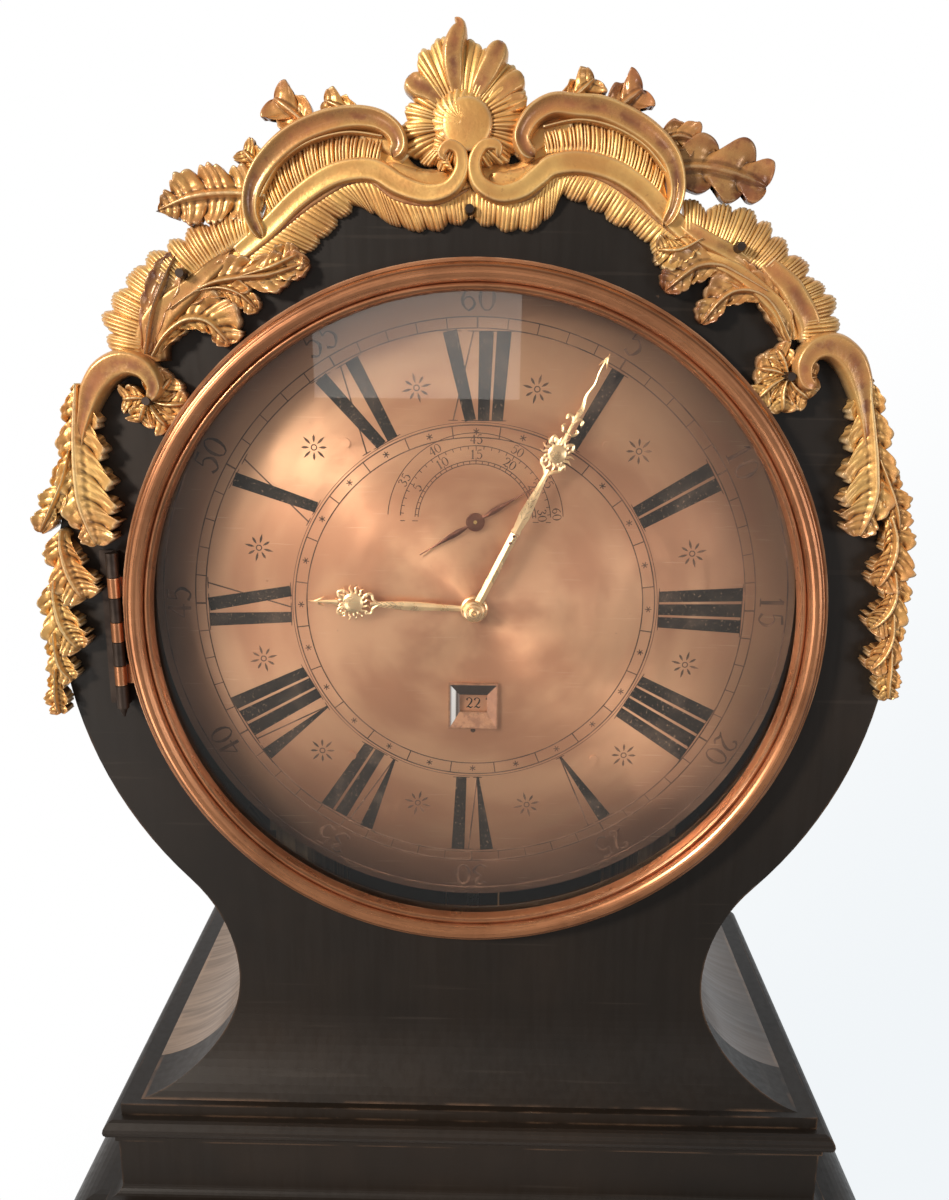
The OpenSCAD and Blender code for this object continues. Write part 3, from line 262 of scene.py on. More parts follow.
def eboniseWood():
    look = {"black": (0.011, 0.008, 0.006), "brown": (0.034, 0.021, 0.013),
            "worn": (0.15, 0.085, 0.05), "line": (0.05, 0.038, 0.03)}
    openFinish("ebonisedWood")
    scratch = hairs(7.0, 0.2)
    grain = noise(4.0, 5.0, (70, 70, 5))
    colour = paint(look["black"], (clouds(3.2, 0.4, 0.78), 0.6, look["brown"]),
                   (scratch, 1, look["line"]), (rubs(34.0, 0.0018), 0.7, look["worn"]),
                   (clouds(120.0, 0.735, 0.75), 0.35, look["worn"]))
    height = plus(times(grain, 0.4), times(scratch, -0.5))
    return closeFinish(colour, ramp(grain, 0.3, 0.7, 0.4, 0.5), (height, 0.12, 0.0005),
                       Coat_Weight=0.06, Coat_Roughness=0.25, Specular_IOR_Level=0.3)


def wornVarnish():
    # the coves of the waist: rubbed down to brown, shining, and painted lighter on the left as a
    # painted highlight where the key light falls
    look = {"brown": (0.09, 0.053, 0.032), "dark": (0.026, 0.017, 0.012),
            "worn": (0.3, 0.18, 0.1), "paintedLeftLight": (0.31, 0.2, 0.12)}
    openFinish("wornVarnish")
    grain = noise(5.0, 5.0, (5, 60, 5))
    # painted highlight: the colour is lightened towards the left of the coves, where the key light
    # falls
    paintedLeftLight = times(ramp(parted(page["place"])["X"], -0.17, -0.08, 0.75, 0.0),
                  ramp(grain, 0.25, 0.75, 1.0, 0.35))
    colour = paint(look["brown"], (clouds(16.0, 0.42, 0.72), 0.7, look["dark"]),
                   (rubs(34.0, 0.0018), 0.7, look["worn"]), (paintedLeftLight, 1, look["paintedLeftLight"]))
    return closeFinish(colour, ramp(grain, 0.3, 0.7, 0.36, 0.5), (grain, 0.15, 0.0005),
                       Coat_Weight=0.4, Coat_Roughness=0.22)


def bareWood():
    openFinish("innerWood")
    grain = noise(3.0, 6.0, (60, 60, 3), Distortion=0.6)
    colour = blend(ramp(grain, 0.35, 0.68), (0.26, 0.155, 0.08), (0.12, 0.066, 0.034))
    return closeFinish(colour, 0.72, (grain, 0.25, 0.0008))


def giltWood():
    look = {"gold": (1.0, 0.61, 0.2), "deep": (0.7, 0.32, 0.09), "pale": (1.0, 0.87, 0.55),
            "brown": (0.17, 0.062, 0.028), "bole": (0.42, 0.165, 0.066),
            "crease": (0.065, 0.022, 0.009)}
    openFinish("giltWood")
    cloud = clouds(30.0, 0.34, 0.66)
    fine = noise(600.0, 4.0)
    shape = put("NewGeometry").outputs["Pointiness"]
    # painted shade: sides that face downwards are coloured brown
    under = ramp(parted(put("TexCoord").outputs["Normal"])["Z"], -0.9, -0.4, 0.6, 0.0)
    worn = times(put("Attribute", {"attribute_name": "worn"}).outputs["Fac"],
                 ramp(clouds(95.0, 0.42, 0.6), 0.0, 1.0, 0.8, 1.0), clamp=True)
    colour = paint(look["gold"], (cloud, 0.8, look["deep"]),
                   # painted highlight: sharp convex ridges are made pale where light would catch
                   # them
                   (ramp(shape, 0.515, 0.6), 0.6, look["pale"]),
                   (clouds(260.0, 0.6, 0.7), 0.5, look["bole"]),
                   (worn, 1, blend(cloud, look["brown"], look["bole"])),
                   (under, 1, look["brown"]),
                   # painted shade: hollows and creases take the dark crease colour, where shade
                   # falls
                   (ramp(shape, 0.43, 0.505, 1.0, 0.0), 0.92, look["crease"]))
    return closeFinish(colour, ramp(plus(fine, worn), 0.3, 1.4, 0.46, 0.26),
                       (fine, 0.3, 0.0004), Metallic=ramp(worn, 0.0, 1.0, 0.6, 0.12))


def bezelCopper():
    look = {"copper": (0.58, 0.25, 0.118), "dark": (0.4, 0.165, 0.078),
            "bright": (0.85, 0.5, 0.3), "grooveShade": (0.09, 0.036, 0.02),
            "cutRadii": (0.1663, 0.1756)}
    openFinish("bezelCopper")
    rings = turned(doorZ, 1400.0, 9.0)
    cuts = 0.0
    for radius in look["cutRadii"]:
        cuts = maths("MAXIMUM", cuts, ramp(gap(rings["Radius"], radius), 0.0002, 0.0007, 1.0, 0.0))
    bare = maths("MAXIMUM", rubs(60.0, 0.0012), hairs(40.0, 0.2))
    colour = paint(look["copper"], (clouds(26.0, 0.38, 0.7), 1, look["dark"]),
                   # painted shade: the turned grooves are darkened in colour as well as sunk by
                   # the bump
                   (cuts, 0.55, look["grooveShade"]), (bare, 1, look["bright"]))
    height = maths("SUBTRACT", times(rings["Height"], 0.06), cuts)
    return closeFinish(colour, ramp(rings["Height"], 0.3, 0.7, 0.26, 0.34),
                       (height, 0.5, 0.0004), Metallic=0.85)


def dialCopper():
    look = {"rose": (0.49, 0.235, 0.135), "pale": (0.66, 0.365, 0.215),
            "dark": (0.13, 0.07, 0.046), "spot": (0.07, 0.04, 0.03), "hair": (0.9, 0.66, 0.48)}
    openFinish("dialCopper")
    rings = turned(dialZ, 1500.0, 2.0)
    stain = clouds(14.0, 0.4, 0.66)
    part = parted(page["place"])
    # painted shadow: the far left of the dial is darkened where the bezel casts its shadow; the
    # dial is also darker towards the right and towards the bottom
    side = plus(ramp(part["X"], -0.17, -0.12, 0.35, 0.0), ramp(part["X"], 0.0, 0.14, 0.0, 0.2))
    below = ramp(part["Z"], dialZ - 0.15, dialZ - 0.04, 0.4, 0.0)
    # darker towards the rim: partly tarnish, partly painted shade under the bezel
    tarnishAndShade = plus(times(ramp(rings["Radius"], 0.11, 0.168), 0.55), plus(side, below), clamp=True)
    wiped = ramp(turned(dialZ, 34.0, 1.2)["Height"], 0.35, 0.65)
    colour = paint(look["pale"], (wiped, 1, look["rose"]), (stain, 0.25, look["rose"]),
                   (tarnishAndShade, 1, look["dark"]), (clouds(330.0, 0.7, 0.76), 0.5, look["spot"]),
                   (hairs(34.0, 0.12), 1, look["hair"]))
    grainWay = put("Tangent", {"direction_type": "RADIAL", "axis": "Y"}).outputs[0]
    return closeFinish(colour, ramp(plus(rings["Height"], stain), 0.3, 1.5, 0.3, 0.44),
                       (rings["Height"], 0.01, 0.0003), Metallic=0.8, Anisotropic=0.75,
                       Anisotropic_Rotation=0.25, Tangent=grainWay)


def plainMetal(name, base, dark, rough, grainScale, metallic=1.0):
    openFinish(name)
    grain = noise(grainScale, 3.0, (1, 6, 1))
    bright = tuple(min(1, c * 1.5 + 0.03) for c in base)
    colour = paint(base, (clouds(40.0, 0.42, 0.72), 1, dark), (hairs(50.0, 0.3), 1, bright))
    return closeFinish(colour, ramp(grain, 0.3, 0.7, rough - 0.07, rough + 0.1),
                       (grain, 0.12, 0.0003), Metallic=metallic)


def polishedFrame():
    # painted shade on the upper and the right bevel, and a painted reflection with dark stripes on
    # the left one
    look = {"copper": (0.4, 0.2, 0.115), "stain": (0.26, 0.125, 0.075),
            "upper": (0.05, 0.036, 0.03), "right": (0.17, 0.075, 0.045),
            "steel": (0.72, 0.7, 0.7), "dim": (0.2, 0.15, 0.13), "edge": (0.05, 0.035, 0.03)}
    openFinish("dateFrameMetal")
    way = parted(put("TexCoord").outputs["Normal"])
    across = parted(page["place"])["X"]
    # painted reflection: the left bevel, which faces right, is painted bright with dark stripes
    steel = paint(look["steel"],
                  (ramp(gap(across, -0.0108), 0.0006, 0.0018), 1, look["dim"]),
                  (ramp(gap(across, -0.0089), 0.0002, 0.0005, 1.0, 0.0), 1, look["edge"]))
    colour = paint(look["copper"], (clouds(260.0, 0.4, 0.62), 1, look["stain"]),
                   # painted shade: the upper bevel, which faces down, and the right bevel are
                   # darkened
                   (ramp(way["Z"], -0.3, -0.12, 1.0, 0.0), 1, look["upper"]),
                   (ramp(way["X"], -0.3, -0.12, 0.7, 0.0), 1, look["right"]),
                   (ramp(way["X"], 0.12, 0.3), 1, steel))
    return closeFinish(colour, 0.32, Metallic=0.6)


def blackWax():
    openFinish("blackWax")
    chips = clouds(700.0, 0.59, 0.65)
    colour = paint((0.012, 0.009, 0.007), (clouds(60.0, 0.45, 0.75), 1, (0.06, 0.04, 0.03)),
                   (chips, 0.5, (0.34, 0.21, 0.14)))
    return closeFinish(colour, 0.6, (chips, 0.3, 0.0003), Specular_IOR_Level=0.15)


def cutLine():
    openFinish("cutLine")
    colour = blend(clouds(90.0, 0.3, 0.7), (0.035, 0.018, 0.012), (0.14, 0.07, 0.044))
    return closeFinish(colour, 0.6, Specular_IOR_Level=0.2)


def mixShaders(mask, first, second, end):
    mixed = put("MixShader", _0=mask, _1=first.outputs[0], _2=second.outputs[0])
    plug(page["tree"].nodes[end], {"Surface": mixed.outputs[0]})


def clearGlass():
    openFinish("clearGlass")
    finish = closeFinish((0.97, 0.98, 0.97), 0.01, (noise(9.0, 1.0), 0.05, 0.002), IOR=1.5,
                         Transmission_Weight=1.0)
    mixShaders(put("LightPath").outputs["Is Shadow Ray"], page["shader"],
               put("BsdfTransparent", Color=(0.96, 0.97, 0.96)), "Material Output")
    return finish


def gutLine():
    openFinish("gutLine")
    twist = put("TexWave", Vector=page["place"], Scale=260.0, Distortion=1.0).outputs["Fac"]
    colour = blend(twist, (0.36, 0.2, 0.09), (0.2, 0.1, 0.045))
    return closeFinish(colour, 0.5, (twist, 0.3, 0.0003))


finishes = {
    "ebonised_wood": eboniseWood(),
    "inner_wood": bareWood(),
    "giltwood": giltWood(),
    "copper_ring": bezelCopper(),
    "dial_copper": dialCopper(),
    "hand_gold": plainMetal("handGold", (0.97, 0.68, 0.39), (0.93, 0.6, 0.31), 0.3, 90.0),
    "date_frame": polishedFrame(),
    "seconds_hand": plainMetal("secondsCopper", (0.2, 0.085, 0.055), (0.09, 0.04, 0.03), 0.4,
                               400.0),
    "dark_metal": plainMetal("darkMetal", (0.07, 0.05, 0.04), (0.03, 0.02, 0.016), 0.45,
                             260.0, 0.8),
    "movement_brass": plainMetal("movementBrass", (0.72, 0.5, 0.2), (0.42, 0.26, 0.1), 0.3,
                                 420.0),
    "movement_steel": plainMetal("movementSteel", (0.5, 0.5, 0.52), (0.22, 0.21, 0.21), 0.3,
                                 520.0),
    "clear_glass": clearGlass(),
    "line_cord": gutLine(),
    "wax": blackWax(),
    "engraved": cutLine(),
}
inPlace = {"hood_necks": wornVarnish(), "dial_feet": finishes["dial_copper"]}


def dressNodes():
    for part in frame["record"]["subparts"]:
        holder = nodes[part["node"]]
        finish = inPlace.get(part["node"], finishes[part["material_slot"]])
        if not holder.material_slots:
            holder.data.materials.append(finish)
        for slot in holder.material_slots:
            slot.material = finish


dressNodes()
print("finishes made")


# Shared making of pieces
def share(values, s):
    # the value at share s of a list, where 0 is its start and 1 its end
    at = s * (len(values) - 1)
    i = min(int(at), len(values) - 2)
    return values[i] + (values[i + 1] - values[i]) * (at - i)


def smoothPath(points, count):
    # an even run of places along a smooth line through given points
    dense, last = [], len(points) - 1
    for i in range(last):
        around = [points[max(i - 1, 0)], points[i], points[i + 1], points[min(i + 2, last)]]
        for k in range(12):
            t = k / 12
            dense.append(tuple(
                0.5 * (2 * b + (c - a) * t + (2 * a - 5 * b + 4 * c - d) * t * t
                       + (3 * b - a - 3 * c + d) * t ** 3)
                for a, b, c, d in zip(*around)))
    dense.append(tuple(points[-1]))
    reach = [0.0]
    for a, b in zip(dense, dense[1:]):
        reach.append(reach[-1] + math.dist(a, b))
    path, j = [], 0
    for k in range(count):
        target = reach[-1] * k / (count - 1)
        while j < len(dense) - 2 and reach[j + 1] < target:
            j += 1
        part = (target - reach[j]) / max(reach[j + 1] - reach[j], 1e-9)
        path.append(tuple(a + (b - a) * part for a, b in zip(dense[j], dense[j + 1])))
    return path


def along(path, s):
    # place and direction at share s of a path
    at = min(max(s, 0.0), 1.0) * (len(path) - 1)
    i = min(int(at), len(path) - 2)
    place = [p + (q - p) * (at - i) for p, q in zip(path[i], path[i + 1])]
    c, d = path[max(i - 1, 0)], path[min(i + 2, len(path) - 1)]
    length = max(math.dist(c, d), 1e-9)
    return place, ((d[0] - c[0]) / length, (d[1] - c[1]) / length)


def besides(path, s, out):
    # the place at share s of a path, moved to its left
    (x, z), (dx, dz) = along(path, s)
    return x - dz * out, z + dx * out


def endRound(s, reach):
    # rounds off the end of a strip over a share of its length
    return math.sqrt(max(1 - max(1 - s / reach, 0) ** 2, 0.0)) if reach else 1.0


def halfWidth(widths, s, ends):
    return share(widths, s) / 2 * endRound(s, ends[0]) * endRound(1 - s, ends[1])


def startPiece():
    work = bmesh.new()
    work.verts.layers.float.new("worn")
    return work


def endPiece(work, name, body, slotName, finish=None, smooth=False, node=None):
    bmesh.ops.recalc_face_normals(work, faces=work.faces)
    mesh = bpy.data.meshes.new(name)
    work.to_mesh(mesh)
    work.free()
    for face in mesh.polygons:
        face.use_smooth = smooth
    mesh.materials.append(finishes[finish or slotName])
    piece = addObject(name, mesh)
    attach(piece, body)
    if node:
        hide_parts(node)


def endCarving(work, name, node):
    endPiece(work, name, "hood", "giltwood", smooth=True, node=node)


def pulled(work, faces, keep=True):
    # the corners of new faces drawn out of the old ones
    grown = bmesh.ops.extrude_face_region(work, geom=faces, use_keep_orig=keep)["geom"]
    return [v for v in grown if isinstance(v, bmesh.types.BMVert)]


def bentSheet(work, steps, rows, shape, foot, joined=False):
    # a grid bent to a form, then taken back to the surface it stands on and closed
    worn = work.verts.layers.float["worn"]
    made = bmesh.ops.create_grid(work, x_segments=steps, y_segments=rows, size=1)["verts"]
    for v in made:
        x, y, z, v[worn] = shape(v.co.x / 2 + 0.5, v.co.y / 2 + 0.5)
        v.co = (x, y, z)
    if joined:  # a round form: its seam and its middle are closed
        bmesh.ops.remove_doubles(work, verts=made, dist=1e-6)
        made = [v for v in made if v.is_valid]
    for v in pulled(work, list({f for v in made for f in v.link_faces})):
        v.co.y = foot


# Dial: wax-filled numerals, engraved rings, figures and flowers, in millimetres from its middle
dialLook = {
    "numeralFoot": 98.0, "numeralTop": 142.0, "bar": 6.5, "fan": 0.12, "hair": 0.75,
    "serif": (0.35, 0.6, 0.35), "sunk": 0.00006, "waxDepth": 0.00022, "cutDepth": 0.00012,
    # radius and width of the rings; inner and outer radius of the two bands of strokes
    "rings": [(89.5, 0.6), (95.8, 0.65), (97.2, 0.3), (143.5, 0.6), (149.0, 0.6), (166.0, 0.7)],
    "quarters": (89.5, 95.8), "minutes": (143.5, 149.0), "starRadius": 92.6, "starArm": 1.7,
    "figures": (158, 12.5, 1.15),  # radius, height and pen
    # across, up and radius of the heads of the dial feet and of the hole for a pin
    "feet": (67, 86, 1.9), "pinHole": (0, -70, 0.7),
    "flowerRadius": 118.0, "flowerHeart": 1.4, "petal": (0.2, 0.9, 1.5, 1.1, 0.15),
    "petalReach": (7.6, 6.6),
}
secondsScale = {
    # a half round above the middle, read off by a hand with two equal arms
    "up": 46.0, "end": 86, "rings": (30.0, 31.6, 39.3, 45.8), "ringWidth": 0.45,
    "strokeWidth": 0.4, "height": 4.6, "pen": 0.46, "lastFigure": 84,
    "figures": ((0, 34.9), (30, 42.6)),  # first number and radius of each row
}
glyphWidth = {"I": 7.9, "V": 14.0, "X": 16.0}
hours = ["XII", "I", "II", "III", "IIII", "V", "VI", "VII", "VIII", "IX", "X", "XI"]


def inlay(work, path, widths, depth=dialLook["cutDepth"], face=dialFace):
    # a thin filled stroke lying just proud of the face; one number gives an even width
    if not isinstance(widths, (list, tuple)):
        widths = (widths, widths)

    def shape(s, t):
        x, z = besides(path, s, (t - 0.5) * share(widths, s))
        return x * mm, face - depth, dialZ + z * mm, 0.0

    bentSheet(work, len(path) - 1, 1, shape, face + dialLook["sunk"])


def polar(angle, radius, tangent=0.0):
    # degrees clockwise from the top
    turn = math.radians(angle)
    return (radius * math.sin(turn) + tangent * math.cos(turn),
            radius * math.cos(turn) - tangent * math.sin(turn))


def arc(radius, start=0, end=360, step=2.0):
    count = max(int(abs(end - start) / step), 2)
    return [polar(start + (end - start) * k / count, radius) for k in range(count + 1)]


def arcAt(x, z, radius):
    return [(x + px, z + pz) for px, pz in arc(radius, step=24)]


def raised(path, up):
    return [(x, z + up) for x, z in path]


def romanStrokes(word):
    # thick and hair strokes as (tangent, radius) pairs in the numeral's own upright frame
    low, high, bar = dialLook["numeralFoot"], dialLook["numeralTop"], dialLook["bar"]
    at = -sum(glyphWidth[g] for g in word) / 2
    thick, hair = [], []
    for g in word:
        half = glyphWidth[g] / 2
        mid = at + half
        if g == "I":
            thick.append(((mid, low), (mid, high), bar, bar))
        elif g == "V":
            thick.append(((mid + 0.6, low), (mid - half + 3.4, high), 1.4, bar))
            hair.append(((mid + 0.9, low), (mid + half - 1.4, high)))
        else:
            thick.append(((mid + 4.4, low), (mid - 4.4, high), bar, bar))
            hair.append(((mid - 5.6, low), (mid + 6.2, high)))
        at += 2 * half
    return thick, hair


def makeNumerals(lines):
    blacks = startPiece()
    fan, foot, top = dialLook["fan"], dialLook["numeralFoot"], dialLook["numeralTop"]
    mid, half = (foot + top) / 2, (top - foot) / 2

    def spread(hour, tangent, radius):
        return polar(hour * 30, radius, tangent * (1 + fan * (radius - mid) / half))

    def serif(hour, spot, reach):
        line = [spread(hour, spot[0] + k * reach, spot[1]) for k in (-1, 0, 1)]
        inlay(lines, line, dialLook["serif"])

    for hour, word in enumerate(hours):
        thick, hair = romanStrokes(word)
        for foot, top, footWidth, topWidth in thick:
            path = smoothPath([spread(hour, *foot), spread(hour, *top)], 6)
            inlay(blacks, path, [footWidth * (1 - fan), topWidth * (1 + fan)],
                  dialLook["waxDepth"])
            serif(hour, foot, footWidth / 2 + 2.0)
            serif(hour, top, topWidth / 2 + 2.0)
        for foot, top in hair:
            path = smoothPath([spread(hour, *foot), spread(hour, *top)], 4)
            inlay(lines, path, dialLook["hair"])
            serif(hour, foot, 2.8)
            serif(hour, top, 2.8)
    endPiece(blacks, "romanNumerals", "case", "dial_copper", "wax")


# Pen strokes of each figure in a box 0.6 wide and 1 high, each point with its width
figures = {
    "0": [[(0.3, 1, 0.5), (0.1, 0.85, 1), (0.02, 0.5, 1.7), (0.1, 0.15, 1), (0.3, 0, 0.5),
           (0.5, 0.15, 1), (0.58, 0.5, 1.7), (0.5, 0.85, 1), (0.3, 1, 0.5)]],
    "1": [[(0.14, 0.8, 0.5), (0.3, 1, 0.8)], [(0.3, 1, 1.7), (0.3, 0, 1.7)],
          [(0.12, 0, 0.5), (0.3, 0, 0.6), (0.48, 0, 0.5)]],
    "2": [[(0.08, 0.74, 1.6), (0.05, 0.88, 0.8), (0.26, 1, 0.7), (0.5, 0.86, 1.5),
           (0.46, 0.55, 1.4), (0.12, 0.12, 0.7), (0.0, 0.02, 0.5)],
          [(0.0, 0.03, 0.5), (0.2, 0.12, 1.3), (0.42, 0.02, 1.3), (0.6, 0.14, 0.5)]],
    "3": [[(0.06, 0.86, 1.4), (0.22, 1, 0.6), (0.48, 0.84, 1.4), (0.22, 0.56, 0.5)],
          [(0.22, 0.56, 0.5), (0.56, 0.32, 1.7), (0.3, 0, 0.6), (0.03, 0.14, 1.3)]],
    "4": [[(0.44, 0, 1.6), (0.44, 1, 1.6)], [(0.44, 1, 0.5), (0.02, 0.32, 0.6)],
          [(0.02, 0.32, 0.7), (0.62, 0.32, 0.7)]],
    "5": [[(0.52, 1, 1.2), (0.14, 0.97, 0.8)], [(0.14, 0.97, 0.6), (0.1, 0.58, 0.6)],
          [(0.1, 0.58, 0.5), (0.36, 0.66, 0.7), (0.57, 0.36, 1.7), (0.34, 0, 0.7),
           (0.04, 0.12, 1.3)]],
    "6": [[(0.48, 0.96, 0.9), (0.2, 0.78, 0.9), (0.05, 0.36, 1.6), (0.3, 0, 0.6),
           (0.56, 0.28, 1.5), (0.32, 0.56, 0.6), (0.09, 0.38, 0.6)]],
    "7": [[(0.02, 0.84, 0.6), (0.1, 0.97, 1.2), (0.56, 0.97, 0.9)],
          [(0.56, 0.97, 0.6), (0.3, 0.5, 1.2), (0.24, 0, 1.7)]],
    "8": [[(0.3, 0.55, 1.1), (0.07, 0.78, 1), (0.3, 1, 0.6), (0.52, 0.8, 0.9),
           (0.3, 0.55, 1.2), (0.03, 0.24, 1.2), (0.3, 0, 0.6), (0.58, 0.26, 1.2),
           (0.3, 0.55, 0.9)]],
    "9": [[(0.12, 0.04, 0.9), (0.4, 0.22, 0.9), (0.55, 0.64, 1.6), (0.3, 1, 0.6),
           (0.04, 0.72, 1.5), (0.28, 0.44, 0.6), (0.51, 0.62, 0.6)]],
}


def writeFigures(work, word, angle, radius, height, pen, up=0.0, flip=1, **more):
    # a word standing on a circle; with flip -1 its top is nearer the middle
    step = height * 0.74
    for n, mark in enumerate(word):
        shift = (n - len(word) / 2) * step + 0.07 * height
        for stroke in figures[mark]:
            flat = [polar(angle, radius + flip * (y - 0.5) * height, flip * (shift + x * height))
                    for x, y, w in stroke]
            path = smoothPath(raised(flat, up), 14 if len(stroke) > 3 else 5)
            inlay(work, path, [w * pen for x, y, w in stroke], **more)


def tick(lines, angle, reach, width, up=0.0):
    inlay(lines, raised([polar(angle, radius) for radius in reach], up), width)


def makeRings(lines):
    for radius, width in dialLook["rings"]:
        inlay(lines, arc(radius), width)
    for k in range(24):
        tick(lines, k * 15 + 7.5, dialLook["quarters"], 0.6)
        x, z = polar(k * 15, dialLook["starRadius"])
        for turn in range(3):
            dx, dz = polar(turn * 60 + k * 15, dialLook["starArm"])
            inlay(lines, [(x - dx, z - dz), (x + dx, z + dz)], 0.5)
    for k in range(60):
        tick(lines, k * 6, dialLook["minutes"], 0.5 if k % 5 else 0.9)
    for k in range(1, 13):
        writeFigures(lines, str(k * 5), k * 30, *dialLook["figures"])
    across, up, radius = dialLook["feet"]
    for side in (-across, across):
        inlay(lines, arcAt(side, up, radius), 0.5)
    inlay(lines, arcAt(*dialLook["pinHole"]), 1.4)


def makeSecondsScale(lines):
    up, end, width = (secondsScale[key] for key in ("up", "end", "strokeWidth"))
    for radius in secondsScale["rings"]:
        inlay(lines, raised(arc(radius, -end, end), up), secondsScale["ringWidth"])
    for k in range(31):
        tick(lines, k * 6 - 90, (30.0, 31.6 if k % 5 else 33.0), width, up)
        tick(lines, k * 6 - 90, (37.6 if k % 5 else 36.8, 39.3), width, up)
    for k in range(1, 7):
        angle = min(k * 30 - 90, secondsScale["lastFigure"])
        for first, radius in secondsScale["figures"]:
            writeFigures(lines, str(first + k * 5), angle, radius, secondsScale["height"],
                         secondsScale["pen"], up)


def makeFlowers(lines):
    for k in range(12):
        x, z = polar(15 + 30 * k, dialLook["flowerRadius"])
        for petal in range(8):
            dx, dz = polar(petal * 45 + 15 + 30 * k, 1)
            path = [(x + dx * r, z + dz * r)
                    for r in (2.6, 4.0, 5.4, dialLook["petalReach"][petal % 2])]
            inlay(lines, path, dialLook["petal"])
        inlay(lines, arcAt(x, z, dialLook["flowerHeart"]), 0.6)


def makeEngraving():
    lines = startPiece()
    makeNumerals(lines)
    makeRings(lines)
    makeSecondsScale(lines)
    makeFlowers(lines)
    endPiece(lines, "dialEngraving", "case", "dial_copper", "engraved")


dateLook = {
    "shown": 22, "radius": 55.0, "height": 5.8, "pen": 0.6, "figureDepth": 0.00015,
    # the frame round the opening: half its width, its top and its foot below the dial's middle
    "outer": (13.5, 42.5, 68.5), "inner": (7.5, 49.5, 59.5), "proud": 0.0022,
    "steps": (0.0008, 0.004),
}


def makeDateFigures():
    # the days of the month round the ring behind the dial
    work = startPiece()
    for day in range(1, 32):
        angle = 180 - (day - dateLook["shown"]) * 360 / 31
        writeFigures(work, str(day), angle, dateLook["radius"], dateLook["height"],
                     dateLook["pen"], flip=-1, depth=dateLook["figureDepth"],
                     face=placeOn("date_ring", 1, 0))
    endPiece(work, "dateFigures", "date", "dial_copper", "wax")


def makeDateFrame():
    # a square frame whose sides slope in to the opening
    work = startPiece()
    made = bmesh.ops.create_grid(work, x_segments=1, y_segments=1, size=1)["verts"]
    sides, top, low = dateLook["outer"]
    for v in made:
        v.co = (math.copysign(sides * mm, v.co.x), dialFace - dateLook["proud"],
                dialZ - (top if v.co.y > 0 else low) * mm)
    middle = dialZ - (top + low) / 2 * mm
    work.normal_update()
    for width in dateLook["steps"]:
        inside = max(work.faces, key=lambda f: f.calc_area())
        bmesh.ops.inset_region(work, faces=[inside], thickness=width, use_boundary=True,
                               use_even_offset=True)
    sides, top, low = dateLook["inner"]
    for v in inside.verts:
        v.co = (math.copysign(sides * mm, v.co.x), dialFace - 0.0001,
                dialZ - (top if v.co.z > middle else low) * mm)
    bmesh.ops.delete(work, geom=[inside], context="FACES_ONLY")
    for v in pulled(work, list(work.faces)):
        v.co.y = dialFace + 0.0002
    endPiece(work, "dateFrameBevelled", "case", "dial_copper", "date_frame", node="date_frame")


makeEngraving()
print("dial engraved")
makeDateFigures()
makeDateFrame()
print("date made")


# Hands, in millimetres along the hand from the middle and across it
minuteLook = {
    "angle": 26.4, "up": 0, "thick": 0.0014, "body": "centre",
    "slot": "hand_gold",
    "strips": [  # points (along, across), widths and ridge height
        ([(2, 0), (46, 0)], [4.4, 4.2], 0.9),
        ([(46.5, 0), (51.5, 0)], [5.2, 4.2, 5.0], 0.5),
        ([(51, 0), (60, 0), (70, 0), (83, 0)], [4.6, 5.8, 5.2, 4.2, 3.2, 2.4, 2.0], 0.4),
        ([(98, 0), (104, 0), (112, 0)], [2.2, 1.6, 2.0], 0.3),
        ([(111, 0), (117, 0.5), (124, -0.5), (131, 0.5), (137, -0.3), (147, 0)],
         [1.4, 2.7, 1.7, 1.3, 1.1, 1.0, 0.9, 0.9, 0.8, 0.2], 0.3),
    ],
    # small scrolls: points and widths, made on both sides
    "scrolls": [
        ([(80, 0.6), (83, 2.6), (85, 5.2), (87.6, 5.4), (87.4, 3.8)], [1.0, 1.5, 1.4, 1.3, 1.8]),
        ([(95, 1.5), (98, 2.8), (99.5, 5.2), (97.2, 6.0), (96.4, 4.8)],
         [1.0, 1.4, 1.4, 1.3, 1.8]),
        ([(104, 0.3), (103.5, 2.6), (105.5, 4.0), (107.2, 3.2)], [1.0, 1.4, 1.3, 1.8]),
        ([(109, 0.4), (112, 1.8), (112, 3.8), (109.6, 4.0)], [1.0, 1.3, 1.3, 1.7]),
        ([(145, 0.1), (142, 1.2), (139.6, 2.3)], [0.9, 0.8, 0.3]),
    ],
    "sun": (92, 4.7, 9.2), "dots": (41, 45),  # middle of the sun, its disc and its reach
    "chevrons": [(54 + 3.4 * k, 1.7 - 0.2 * k) for k in range(5)],
    # radius and height steps from the middle outwards
    "hub": [(0, 6.0), (0.7, 6.0), (0.9, 6.8), (1.5, 6.8), (1.7, 5.6), (2.6, 5.3), (3.0, 4.4),
            (4.0, 4.2), (4.4, 3.4), (5.4, 3.1), (5.8, 2.2), (5.9, 0.3)],
}
